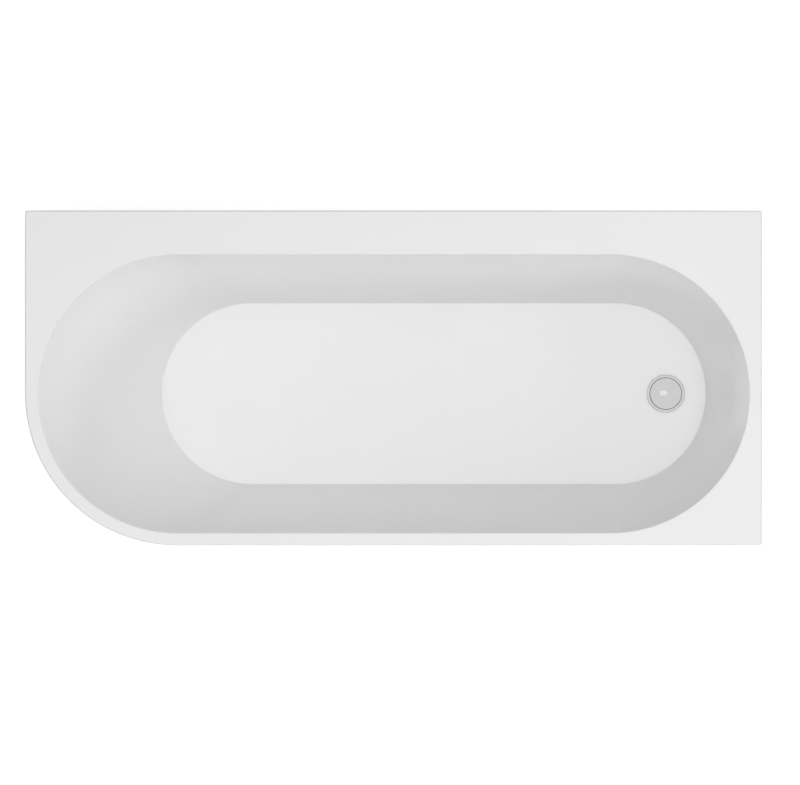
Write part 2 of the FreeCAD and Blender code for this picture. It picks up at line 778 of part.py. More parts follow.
def centre_bracket():
    """A hat-shaped steel bracket under the board that carries the middle leg."""
    body = new_body("centre_bracket")
    section = sketch_on(body, "XZ_Plane", "hat_section", "-bracket_width / 2")
    wall, web, outer = "channel_thickness", "(bracket_web / 2)", "fold_radius"
    inner = f"(fold_radius - {wall})"
    inside, reach, bottom = f"({web} - {wall})", f"({web} + bracket_flange)", f"(-bracket_drop - {wall})"
    outline(section, [
        (f"{outer} - {web}", bottom),
        (f"{web} - {outer}", bottom, outer, LEFT),
        (web, f"{bottom} + {outer}"),
        (web, f"-{wall} - {inner}", inner, RIGHT),
        (f"{web} + {inner}", f"-{wall}"),
        (reach, f"-{wall}"),
        (reach, "0"),
        (f"{inside} + {outer}", "0", outer, LEFT),
        (inside, f"-{outer}"),
        (inside, f"{inner} - bracket_drop", inner, RIGHT),
        (f"{inside} - {inner}", "-bracket_drop"),
        (f"{inner} - {inside}", "-bracket_drop", inner, RIGHT),
        (f"-{inside}", f"{inner} - bracket_drop"),
        (f"-{inside}", f"-{outer}", outer, LEFT),
        (f"-{inside} - {outer}", "0"),
        (f"-{reach}", "0"),
        (f"-{reach}", f"-{wall}"),
        (f"-{web} - {inner}", f"-{wall}", inner, RIGHT),
        (f"-{web}", f"-{wall} - {inner}"),
        (f"-{web}", f"{bottom} + {outer}", outer, LEFT),
    ])
    extrude(body, "Pad", section, "bracket_width")
    drill(body, "XY_Plane", "hat_rod_hole", "-bracket_drop", ROD_HOLE_RADIUS, [("0", "0")], wall)
    drill(body, "XY_Plane", "hat_screw_holes", "0", SCREW_HOLE_RADIUS, HAT_SCREWS, wall)
    place(body, CENTRE_LEG_X, AXIS_Y, FRAME_TOP)


def pad_ribs(body):
    """Stand thin ribs between a foot pad's boss and its rim."""
    sketch = sketch_on(body, "XZ_Plane", f"{body.Label}_rib", "-rib_width / 2")
    outline(sketch, [
        ("pad_boss_radius - rib_bite", "pad_rim"),
        ("pad_radius - rib_rim_gap", "pad_rim"),
        ("pad_boss_radius - rib_bite", "rib_top"),
    ])
    rib = extrude(body, "Pad", sketch, "rib_width")
    pattern = body.newObject("PartDesign::PolarPattern", f"{body.Label}_ribs")
    pattern.Originals = [rib]
    pattern.Axis = (sketch, ["V_Axis"])
    pattern.Angle = 360
    pattern.Occurrences = int(number("rib_count"))
    bind(pattern, "Occurrences", "rib_count")
    body.Tip = pattern


def legs():
    """Five legs: a threaded rod in a foot pad, two lock nuts on each rod."""
    spots = {
        f"{end}_{side}": (x, y, FRAME_TOP, "rod_spare")
        for end, x in ENDS.items()
        for side, y in SIDES.items()
    }
    spots["centre"] = (CENTRE_LEG_X, AXIS_Y, f"({FRAME_TOP} - bracket_drop)", "centre_rod_spare")
    nuts = []
    for spot, (x, y, seat, spare) in spots.items():
        socket = "(rod_radius + rod_fit)"
        length = f"({seat} + {spare} - pad_socket_floor)"
        pad = turned(f"leg_pad_{spot}", [
            ("0", "0"),
            ("pad_radius - pad_edge", "0"),
            ("pad_radius", "pad_edge"),
            ("pad_radius", "pad_rim"),
            ("pad_boss_radius", "pad_cone_top"),
            ("pad_boss_radius", "pad_height"),
            (socket, "pad_height"),
            (socket, "pad_socket_floor"),
            ("0", "pad_socket_floor"),
        ])
        pad_ribs(pad)
        place(pad, x, y)
        rod = turned(f"leg_rod_{spot}", [
            ("0", "0"),
            ("rod_radius", "0"),
            ("rod_radius", f"{length} - rod_chamfer"),
            ("rod_radius - rod_chamfer", length),
            ("0", length),
        ])
        place(rod, x, y, "pad_socket_floor")
        upper = nut(f"upper_nut_{spot}", "nut_width", "nut_height", "rod_radius + rod_fit")
        nuts.append(place(upper, x, y, seat))
        lower = nut(f"lower_nut_{spot}", "nut_width", "nut_height", "rod_radius + rod_fit")
        nuts.append(place(lower, x, y, f"{seat} - channel_thickness - nut_height"))
    group("lock_nuts", nuts)


def frame_screws():
    """Screws that hold the channels and the middle bracket to the board."""
    seat = f"{FRAME_TOP} - channel_thickness"
    along = []
    for end, x in ENDS.items():
        for side in (-1, 1):
            made = screw(f"channel_screw_{end}_{'front' if side < 0 else 'rear'}", "channel_thickness")
            along.append(place(made, x, f"{AXIS_Y} + {side} * {CHANNEL_SCREW_REACH}", seat))
    group("channel_screws", along)
    around = []
    for index, (x, y) in enumerate(HAT_SCREWS):
        made = screw(f"centre_screw_{index}", "channel_thickness")
        around.append(place(made, f"{CENTRE_LEG_X} + {x}", f"{AXIS_Y} + {y}", seat))
    group("centre_screws", around)


# Wall brackets under the rear deck
WALL_BRACKET_REACH = f"({BATTEN_LENGTH} / 2 - wall_bracket_end_gap)"
WALL_BRACKETS = {"head": f"-{WALL_BRACKET_REACH}", "waste": WALL_BRACKET_REACH}
WALL_BRACKET_Z = f"({LIP_BOTTOM} - batten_drop)"
BRACKET_SCREW_Y = "(-wall_bracket_arm + bracket_screw_edge)"


def wall_brackets():
    """Two steel angles screwed up into the rear batten, each with a hole for a wall screw."""
    wall = "wall_bracket_thickness"
    inner = f"(fold_radius - {wall})"
    screws = []
    for end, x in WALL_BRACKETS.items():
        label = f"wall_bracket_{end}"
        body = new_body(label)
        section = sketch_on(body, "YZ_Plane", f"{label}_section", "-wall_bracket_width / 2")
        outline(section, [
            ("-wall_bracket_arm", f"-{wall}"),
            (f"-{wall} - {inner}", f"-{wall}", inner, RIGHT),
            (f"-{wall}", f"-{wall} - {inner}"),
            (f"-{wall}", "-wall_bracket_leg"),
            ("0", "-wall_bracket_leg"),
            ("0", "-fold_radius", "fold_radius", LEFT),
            ("-fold_radius", "0"),
            ("-wall_bracket_arm", "0"),
        ])
        extrude(body, "Pad", section, "wall_bracket_width")
        wall_hole = [("0", "-wall_hole_drop")]
        drill(body, "XZ_Plane", f"{label}_wall_hole", wall, "wall_hole_radius", wall_hole, wall)
        spots = [(f"{side} * bracket_screw_gap / 2", BRACKET_SCREW_Y) for side in (-1, 1)]
        drill(body, "XY_Plane", f"{label}_screw_holes", "0", SCREW_HOLE_RADIUS, spots, wall)
        place(body, x, HALF_WIDTH, WALL_BRACKET_Z)
        for index, (across, back) in enumerate(spots):
            made = screw(f"bracket_screw_{end}_{index}", wall)
            spot = (f"{x} + {across}", f"{HALF_WIDTH} + {back}", f"{WALL_BRACKET_Z} - {wall}")
            screws.append(place(made, *spot))
    group("bracket_screws", screws)


# Panel and what holds it
def front_panel():
    """One panel round the head end, the corner and the front, with its edges turned inwards."""
    body = new_body("front_panel")
    runs = {
        "panel_wall": ("panel_floor_gap", f"{PANEL_TOP} - panel_floor_gap", "panel_thickness"),
        "panel_foot": ("panel_floor_gap", "panel_thickness", "panel_bottom_return"),
        "panel_head": (f"{PANEL_TOP} - panel_thickness", "panel_thickness", "panel_top_return"),
    }
    for name, (bottom, height, width) in runs.items():
        sketch = sketch_on(body, "XY_Plane", name, bottom)
        panel_strip(sketch, PANEL_INSET, width)
        extrude(body, "Pad", sketch, height)


def panel_ties():
    """Steel angles from the channels to timber blocks bonded behind the panel."""
    wall = "tie_thickness"
    inner = f"(fold_radius - {wall})"
    reach = f"({CHANNEL_FRONT_Y} + tie_seat - {TIE_FACE_Y})"
    blocks, bolts, nuts, screws = [], [], [], []
    for end, x in ENDS.items():
        label = f"panel_tie_{end}"
        body = new_body(label)
        section = sketch_on(body, "YZ_Plane", f"{label}_section", "-tie_width / 2")
        outline(section, [
            ("0", "-tie_leg"),
            (wall, "-tie_leg"),
            (wall, f"-{wall} - {inner}", inner, RIGHT),
            (f"{wall} + {inner}", f"-{wall}"),
            (reach, f"-{wall}"),
            (reach, "0"),
            ("fold_radius", "0", "fold_radius", LEFT),
            ("0", "-fold_radius"),
        ])
        extrude(body, "Pad", section, "tie_width")
        bolt_hole = [("0", f"{TIE_BOLT_Y} - {TIE_FACE_Y}")]
        drill(body, "XY_Plane", f"{label}_bolt_hole", "0", BOLT_HOLE_RADIUS, bolt_hole, wall)
        screw_hole = [("0", "-tie_screw_drop")]
        drill(body, "XZ_Plane", f"{label}_screw_hole", "0", SCREW_HOLE_RADIUS, screw_hole, wall)
        place(body, x, TIE_FACE_Y, TIE_TOP)

        block = named(
            "Part::Box",
            f"panel_block_{end}",
            Length="block_width",
            Width="block_depth",
            Height="block_height",
        )
        block_z = f"{TIE_TOP} - block_drop - block_height"
        blocks.append(place(block, f"{x} - block_width / 2", f"{PANEL_INSIDE} - {HALF_WIDTH}", block_z))

        shank = named("Part::Cylinder", f"tie_bolt_shank_{end}", Radius="bolt_radius", Height="bolt_length")
        head = hexagon(f"tie_bolt_head_{end}", "bolt_head_width", "bolt_head_height")
        place(head, z="-bolt_head_height")
        bolt = DOC.addObject("Part::Fuse", f"tie_bolt_{end}")
        bolt.Base, bolt.Tool = shank, head
        bolts.append(place(bolt, x, TIE_BOLT_Y, f"{TIE_TOP} - {wall}"))
        holder = nut(f"tie_nut_{end}", "bolt_head_width", "bolt_nut_height", "bolt_radius + rod_fit")
        nuts.append(place(holder, x, TIE_BOLT_Y, FRAME_TOP))
        made = screw(f"block_screw_{end}", wall)
        spot = (x, f"{TIE_FACE_Y} + {wall}", f"{TIE_TOP} - tie_screw_drop")
        screws.append(place(made, *spot, turn=Rotation(Vector(1, 0, 0), 90)))
    group("panel_blocks", blocks)
    group("tie_bolts", bolts)
    group("tie_nuts", nuts)
    group("block_screws", screws)


def panel_angles():
    """Upright aluminium angles bonded inside the panel's two ends, each with two holes for wall screws."""
    leg, wall = "angle_leg", "angle_thickness"
    length = f"({PANEL_TOP} - angle_floor_gap - angle_top_gap)"
    middle = f"({leg} + {wall}) / 2"
    heights = ["angle_hole_edge", f"{length} - angle_hole_edge"]
    section_points = [
        ("0", f"-{leg}"),
        (wall, f"-{leg}"),
        (wall, f"-{wall}"),
        (leg, f"-{wall}"),
        (leg, "0"),
        ("0", "0"),
    ]
    half_turn = Rotation(Vector(0, 0, 1), 180)
    fits = {
        "head": (f"{PANEL_INSIDE} - {HALF_LENGTH}", HALF_WIDTH, Rotation(), "XZ_Plane", middle),
        "waste": (HALF_LENGTH, f"{PANEL_INSIDE} - {HALF_WIDTH}", half_turn, "YZ_Plane", f"-{middle}"),
    }
    for end, (x, y, turn, wall_plane, across) in fits.items():
        label = f"panel_angle_{end}"
        body = new_body(label)
        section = sketch_on(body, "XY_Plane", f"{label}_section")
        outline(section, section_points)
        extrude(body, "Pad", section, length)
        holes = [(across, height) for height in heights]
        drill(body, wall_plane, f"{label}_holes", wall, "angle_hole_radius", holes, wall)
        place(body, x, y, "angle_floor_gap", turn)


# Waste fitting: heights are measured from its seat in the floor
TAIL_BORE = "(tail_radius - tail_wall)"
FLANGE_BOTTOM = "top_seal_thickness"
FLANGE_TOP = f"({FLANGE_BOTTOM} + waste_flange_thickness)"
RECESS_Z = f"({FLANGE_TOP} - waste_recess_depth)"


def at_waste(piece, z="0"):
    """Put a piece on the waste's axis at a height above its seat."""
    return place(piece, WASTE_X, AXIS_Y, f"{WASTE_SEAT_Z} + {z}")


def waste_fitting():
    """The flange with its tail and cross-bar, two seals and the nut under the floor."""
    edge, rim = "waste_flange_edge", f"({FLANGE_TOP} - waste_flange_fall)"
    flange = turned("waste_flange", [
        ("tail_radius", FLANGE_BOTTOM),
        (f"waste_flange_radius - {edge}", FLANGE_BOTTOM),
        ("waste_flange_radius", f"{FLANGE_BOTTOM} + {edge}"),
        ("waste_flange_radius", f"{rim} - {edge}", edge, LEFT),
        (f"waste_flange_radius - {edge}", rim),
        ("waste_recess_radius", FLANGE_TOP),
        ("waste_recess_radius", RECESS_Z),
        (f"{TAIL_BORE} + waste_mouth_chamfer", RECESS_Z),
        (TAIL_BORE, f"{RECESS_Z} - waste_mouth_chamfer"),
        (TAIL_BORE, "-tail_length"),
        ("tail_radius", "-tail_length"),
    ])
    bar_z = "-spider_depth - spider_height"
    half = "spider_arm_width / 2"
    reach = f"({TAIL_BORE} + tail_wall / 2)"
    for name, (x, y) in {"bar_along": (reach, half), "bar_across": (half, reach)}.items():
        bar = sketch_on(flange, "XY_Plane", name, bar_z)
        outline(bar, [(f"-{x}", f"-{y}"), (x, f"-{y}"), (x, y), (f"-{x}", y)])
        extrude(flange, "Pad", bar, "spider_height")
    hub = sketch_on(flange, "XY_Plane", "bar_hub", bar_z)
    circle(hub, "spider_hub_radius")
    extrude(flange, "Pad", hub, "spider_height")
    bore = "cartridge_radius + thread_fit"
    drill(flange, "XY_Plane", "bar_hole", "-spider_depth", bore, [("0", "0")], "spider_height")
    at_waste(flange)

    seal_bore = "(tail_radius + waste_hole_clearance)"
    at_waste(ring("waste_top_seal", seal_bore, f"{seal_bore} + top_seal_width", "0", "top_seal_thickness"))
    seal_top = "-sheet_thickness"
    seal_bottom = f"({seal_top} - bottom_seal_thickness)"
    around_tail = "tail_radius + thread_fit"
    seal_edge = "tail_radius + bottom_seal_width"
    at_waste(ring("waste_bottom_seal", around_tail, seal_edge, seal_bottom, seal_top))
    nut_bottom = f"({seal_bottom} - back_nut_height)"
    back_nut = ring("waste_back_nut", around_tail, "back_nut_radius", nut_bottom, seal_bottom)
    grip_lugs(back_nut, "back_nut_radius", nut_bottom, "back_nut_height")
    at_waste(back_nut)


# Click plug, drawn closed
SEAL_Z = f"({RECESS_Z} + seal_seat_gap)"
CAP_Z = f"({SEAL_Z} + plug_seal_thickness)"
SHOULDER_Z = "(cartridge_top - cartridge_shoulder)"
PISTON_TOP = f"({SHOULDER_Z} - stop_gap - plug_travel)"
PISTON_BOTTOM = f"({PISTON_TOP} - piston_height)"
CARTRIDGE_BOTTOM = "(cartridge_top - cartridge_length)"
END_CAP_TOP = f"({CARTRIDGE_BOTTOM} + end_cap_height)"
CARTRIDGE_BORE = "(cartridge_radius - cartridge_wall)"
COLLAR_Z = "(-spider_depth)"


def click_plug():
    """The cap, its seal and stem, which rise together out of a sprung cartridge in the cross-bar."""
    edge, bevel = "cap_edge_height", "cap_edge_bevel"
    dome = f"(cap_radius - {bevel})"
    at_waste(turned("plug_cap", [
        ("0", CAP_Z),
        (f"cap_radius - {bevel}", CAP_Z),
        ("cap_radius", f"{CAP_Z} + {bevel}"),
        ("cap_radius", f"{CAP_Z} + {edge} - {bevel}", bevel, LEFT),
        (dome, f"{CAP_Z} + {edge}", f"({dome}^2 + cap_crown^2) / (2 * cap_crown)", LEFT),
        ("0", f"{CAP_Z} + {edge} + cap_crown"),
    ]))
    at_waste(ring("plug_seal", "plug_seal_bore", "waste_recess_radius - plug_seal_gap", SEAL_Z, CAP_Z))
    at_waste(turned("plug_stem", [
        ("0", f"{PISTON_BOTTOM} - stem_tail_length"),
        ("stem_tail_radius", f"{PISTON_BOTTOM} - stem_tail_length"),
        ("stem_tail_radius", PISTON_BOTTOM),
        ("piston_radius", PISTON_BOTTOM),
        ("piston_radius", PISTON_TOP),
        ("stem_radius", PISTON_TOP),
        ("stem_radius", CAP_Z),
        ("0", CAP_Z),
    ]))
    at_waste(turned("plug_cartridge", [
        (CARTRIDGE_BORE, CARTRIDGE_BOTTOM),
        ("cartridge_radius", CARTRIDGE_BOTTOM),
        ("cartridge_radius", COLLAR_Z),
        ("cartridge_collar_radius", COLLAR_Z),
        ("cartridge_collar_radius", f"{COLLAR_Z} + cartridge_collar_height"),
        ("cartridge_radius", f"{COLLAR_Z} + cartridge_collar_height"),
        ("cartridge_radius", "cartridge_top"),
        ("stem_radius + slide_fit", "cartridge_top"),
        ("stem_radius + slide_fit", SHOULDER_Z),
        (CARTRIDGE_BORE, SHOULDER_Z),
    ]))
    cap_bore, cap_edge = "stem_tail_radius + slide_fit", f"{CARTRIDGE_BORE} - end_cap_fit"
    at_waste(ring("cartridge_end_cap", cap_bore, cap_edge, CARTRIDGE_BOTTOM, END_CAP_TOP))
    plug_spring()


def plug_spring():
    """The spring that lifts the plug, wound between the end cap and the stem's piston."""
    body = new_body("plug_spring")
    wire = sketch_on(body, "XZ_Plane", "spring_wire")
    start = f"({END_CAP_TOP} + spring_end_gap + spring_wire / 2)"
    circle(wire, "spring_wire / 2", f"(stem_tail_radius + {CARTRIDGE_BORE}) / 2", start)
    coil = body.newObject("PartDesign::AdditiveHelix", "spring_coil")
    coil.Profile = wire
    coil.ReferenceAxis = (wire, ["V_Axis"])
    coil.Mode = "height-turns-angle"
    height = f"{PISTON_BOTTOM} - spring_end_gap - spring_wire / 2 - {start}"
    for path, text in {"Height": height, "Turns": "spring_turns"}.items():
        setattr(coil, path, number(text))
        bind(coil, path, text)
    at_waste(body)


# Trap: heights are measured from the top of its neck
TRAP_Z = "(-tail_length - trap_washer_thickness)"
COLLAR_RADIUS = "(tail_radius - collar_inset)"
TRAP_INSIDE = "(trap_radius - trap_wall)"
DIP_RADIUS = "(trap_bore + trap_wall)"
SHOULDER_TOP = "(-neck_height)"
SHOULDER_BOTTOM = "(-neck_height - shoulder_height)"
WALL_BOTTOM = "(-trap_height)"
CAP_FLOOR = f"({WALL_BOTTOM} - trap_cap_seal_height)"
CAP_BOTTOM = f"({CAP_FLOOR} - trap_cap_floor)"
OUTLET_Z = "(-outlet_drop)"
PIPE_SOCKET = "(pipe_radius + pipe_clearance)"


def trap_body():
    """A shallow bottle trap: a neck with a dip tube inside a wide chamber, and a side outlet."""
    body = turned("trap_body", [
        ("0", WALL_BOTTOM),
        ("trap_radius", WALL_BOTTOM),
        ("trap_radius", SHOULDER_BOTTOM),
        ("neck_radius", SHOULDER_TOP),
        ("neck_radius", "-collar_height"),
        (COLLAR_RADIUS, "-collar_height"),
        (COLLAR_RADIUS, "0"),
        ("0", "0"),
    ])
    spigot = sketch_on(body, "YZ_Plane", "trap_spigot")
    circle(spigot, "outlet_radius", "0", OUTLET_Z)
    extrude(body, "Pad", spigot, "outlet_length")
    chamber = sketch_on(body, "XZ_Plane", "trap_chamber")
    outline(chamber, [
        (DIP_RADIUS, WALL_BOTTOM),
        (TRAP_INSIDE, WALL_BOTTOM),
        (TRAP_INSIDE, f"{SHOULDER_BOTTOM} - trap_wall"),
        (DIP_RADIUS, f"{SHOULDER_TOP} - trap_wall"),
    ])
    revolve(body, "Groove", chamber)
    drill(body, "XY_Plane", "trap_inlet", "0", "trap_bore", [("0", "0")], "trap_height")
    drill(
        body,
        "XY_Plane",
        "trap_dip_end",
        f"{WALL_BOTTOM} + dip_gap",
        f"{DIP_RADIUS} + trap_wall / 2",
        [("0", "0")],
        "dip_gap",
    )
    outlet = [("0", OUTLET_Z)]
    drill(body, "YZ_Plane", "trap_socket", "outlet_length", PIPE_SOCKET, outlet, "socket_depth")
    through = f"outlet_length - {TRAP_INSIDE} + outlet_bore_run"
    drill(body, "YZ_Plane", "trap_outlet", "outlet_length", "trap_bore", outlet, through)
    at_waste(body, TRAP_Z)


def trap():
    """The trap with its washer, union nut, cleaning cap and outlet nut."""
    trap_body()
    at_waste(ring("trap_washer", TAIL_BORE, COLLAR_RADIUS, "0", "trap_washer_thickness"), TRAP_Z)

    lip_top = "(-collar_height - union_gap)"
    lip_bottom = f"({lip_top} - union_lip)"
    union_nut = turned("trap_union_nut", [
        ("neck_radius + union_gap", lip_bottom),
        ("union_radius", lip_bottom),
        ("union_radius", "union_reach"),
        ("tail_radius + thread_fit", "union_reach"),
        ("tail_radius + thread_fit", lip_top),
        ("neck_radius + union_gap", lip_top),
    ])
    grip_lugs(union_nut, "union_radius", lip_bottom, f"union_reach - {lip_bottom}")
    at_waste(union_nut, TRAP_Z)

    cap_outside = "(trap_radius + thread_fit + trap_cap_wall)"
    cap = turned("trap_cap", [
        ("0", CAP_BOTTOM),
        (cap_outside, CAP_BOTTOM),
        (cap_outside, f"{CAP_BOTTOM} + trap_cap_height"),
        ("trap_radius + thread_fit", f"{CAP_BOTTOM} + trap_cap_height"),
        ("trap_radius + thread_fit", CAP_FLOOR),
        ("0", CAP_FLOOR),
    ])
    grip_lugs(cap, cap_outside, CAP_BOTTOM, "trap_cap_height")
    at_waste(cap, TRAP_Z)
    at_waste(ring("trap_cap_seal", TRAP_INSIDE, "trap_radius", CAP_FLOOR, WALL_BOTTOM), TRAP_Z)

    # The outlet nut and its seal are drawn upright and laid along the outlet
    along_outlet = Rotation(Vector(0, 1, 0), 90)
    spigot_end = f"{WASTE_X} + outlet_length"
    outlet_z = f"{WASTE_SEAT_Z} + {TRAP_Z} + {OUTLET_Z}"
    thread = "outlet_radius + thread_fit"
    outlet_nut = turned("trap_outlet_nut", [
        (thread, "-outlet_nut_engagement"),
        ("outlet_nut_radius", "-outlet_nut_engagement"),
        ("outlet_nut_radius", "outlet_seal_length + outlet_nut_end"),
        ("pipe_radius + pipe_nut_clearance", "outlet_seal_length + outlet_nut_end"),
        ("pipe_radius + pipe_nut_clearance", "outlet_seal_length"),
        (thread, "outlet_seal_length"),
    ])
    nut_length = "outlet_nut_engagement + outlet_seal_length + outlet_nut_end"
    grip_lugs(outlet_nut, "outlet_nut_radius", "-outlet_nut_engagement", nut_length)
    place(outlet_nut, spigot_end, AXIS_Y, outlet_z, along_outlet)
    seal_bore, seal_edge = "pipe_radius + pipe_seal_clearance", "outlet_radius - outlet_seal_inset"
    outlet_seal = ring("trap_outlet_seal", seal_bore, seal_edge, "0", "outlet_seal_length")
    place(outlet_seal, spigot_end, AXIS_Y, outlet_z, along_outlet)


def check_document():
    """Stop if a feature failed, a cut removed nothing or a piece isn't a sound solid."""
    for item in DOC.Objects:
        if {"Invalid", "Error"} & set(item.State):
            raise RuntimeError(f"{item.Label} failed: {item.State}")
        if item.isDerivedFrom("PartDesign::FeatureSubtractive"):
            if item.BaseFeature.Shape.Volume - item.Shape.Volume < LEAST_CUT:
                raise RuntimeError(f"{item.Label} cuts nothing")
    for piece in PIECES:
        if piece.Shape.isNull() or not piece.Shape.isValid() or not piece.Shape.Solids:
            raise RuntimeError(f"{piece.Label} is not a sound solid")


def write_pieces():
    """Write each piece under its own name."""
    os.makedirs("parts", exist_ok=True)
    for piece in PIECES:
        piece.Shape.exportStep(f"parts/{piece.Label}.step")


acrylic_shell()
glassfibre_backing()
base_board()
rear_batten()
leg_channel("head")
leg_channel("waste")
centre_bracket()
legs()
frame_screws()
wall_brackets()
front_panel()
panel_ties()
panel_angles()
waste_fitting()
click_plug()
trap()
DOC.recompute()
check_document()
write_pieces()
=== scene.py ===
"""Dress and light a J-shaped acrylic bath around its CAD model."""

from __future__ import annotations

import json
import logging
import math
from dataclasses import dataclass
from enum import Enum
from typing import Any, Mapping, Optional, Sequence, Union

import bmesh
import bpy
from mathutils import Matrix, Vector

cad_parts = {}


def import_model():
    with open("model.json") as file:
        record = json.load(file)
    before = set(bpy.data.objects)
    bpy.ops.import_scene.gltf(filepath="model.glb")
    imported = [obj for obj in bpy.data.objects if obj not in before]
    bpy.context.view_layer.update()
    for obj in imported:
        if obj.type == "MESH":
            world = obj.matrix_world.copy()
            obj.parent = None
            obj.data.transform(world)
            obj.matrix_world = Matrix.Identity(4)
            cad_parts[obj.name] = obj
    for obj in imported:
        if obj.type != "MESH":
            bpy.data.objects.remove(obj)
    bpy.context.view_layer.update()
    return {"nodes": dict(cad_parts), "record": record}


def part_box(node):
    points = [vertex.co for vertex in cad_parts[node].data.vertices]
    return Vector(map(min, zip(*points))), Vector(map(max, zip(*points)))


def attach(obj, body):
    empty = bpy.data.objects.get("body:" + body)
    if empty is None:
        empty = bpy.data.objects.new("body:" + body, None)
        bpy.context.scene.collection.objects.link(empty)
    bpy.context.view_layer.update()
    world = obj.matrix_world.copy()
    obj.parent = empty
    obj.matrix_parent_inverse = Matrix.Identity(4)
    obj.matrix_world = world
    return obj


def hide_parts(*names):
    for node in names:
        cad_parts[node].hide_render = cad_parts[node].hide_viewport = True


LOG = logging.getLogger("bath")
MERGE_DISTANCE = 1e-6

Number = Union[float, "Value"]
Colour = tuple[float, float, float]
Point = tuple[float, float, float]
Stop = tuple[float, Colour]

NO_TURN: Point = (0.0, 0.0, 0.0)
ORIGIN: Point = (0.0, 0.0, 0.0)
UPRIGHT: Point = (0.0, 0.0, 1.0)


class Slot(Enum):
    """The material slots of the record."""

    ACRYLIC = "acrylic"
    PANEL = "panel_acrylic"
    LAMINATE = "laminate"
    CHIPBOARD = "chipboard"
    TIMBER = "timber"
    GALVANISED = "galvanised_steel"
    FASTENERS = "zinc_fasteners"
    THREADED = "threaded_steel"
    PADS = "pad_plastic"
    ALUMINIUM = "angle_aluminium"
    CHROME = "chrome"
    RUBBER = "seal_rubber"
    BRASS = "brass"
    SPRING = "spring_steel"
    TRAP = "trap_plastic"


class Value:
    """A socket of a material, on which arithmetic adds Math nodes."""

    def __init__(self, paint: Paint, socket: bpy.types.NodeSocket) -> None:
        """Wrap a socket.

        Args:
            paint: The material that the socket belongs to.
            socket: The output that carries the value.
        """
        self.paint = paint
        self.socket = socket

    def math(self, operation: str, first: Number, second: Number) -> Value:
        """Add a Math node.

        Args:
            operation: The node's operation.
            first: The first operand.
            second: The second operand.

        Returns:
            The node's result.
        """
        return self.paint.node("ShaderNodeMath", {"operation": operation}, {0: first, 1: second})

    def __add__(self, other: Number) -> Value:
        """Add a number or another value."""
        return self.math("ADD", self, other)

    def __radd__(self, other: Number) -> Value:
        """Add this value to a number."""
        return self.math("ADD", other, self)

    def __mul__(self, other: Number) -> Value:
        """Multiply by a number or another value."""
        return self.math("MULTIPLY", self, other)

    def __rmul__(self, other: Number) -> Value:
        """Multiply a number by this value."""
        return self.math("MULTIPLY", other, self)

    def __or__(self, other: Number) -> Value:
        """Take the larger of two values."""
        return self.math("MAXIMUM", self, other)


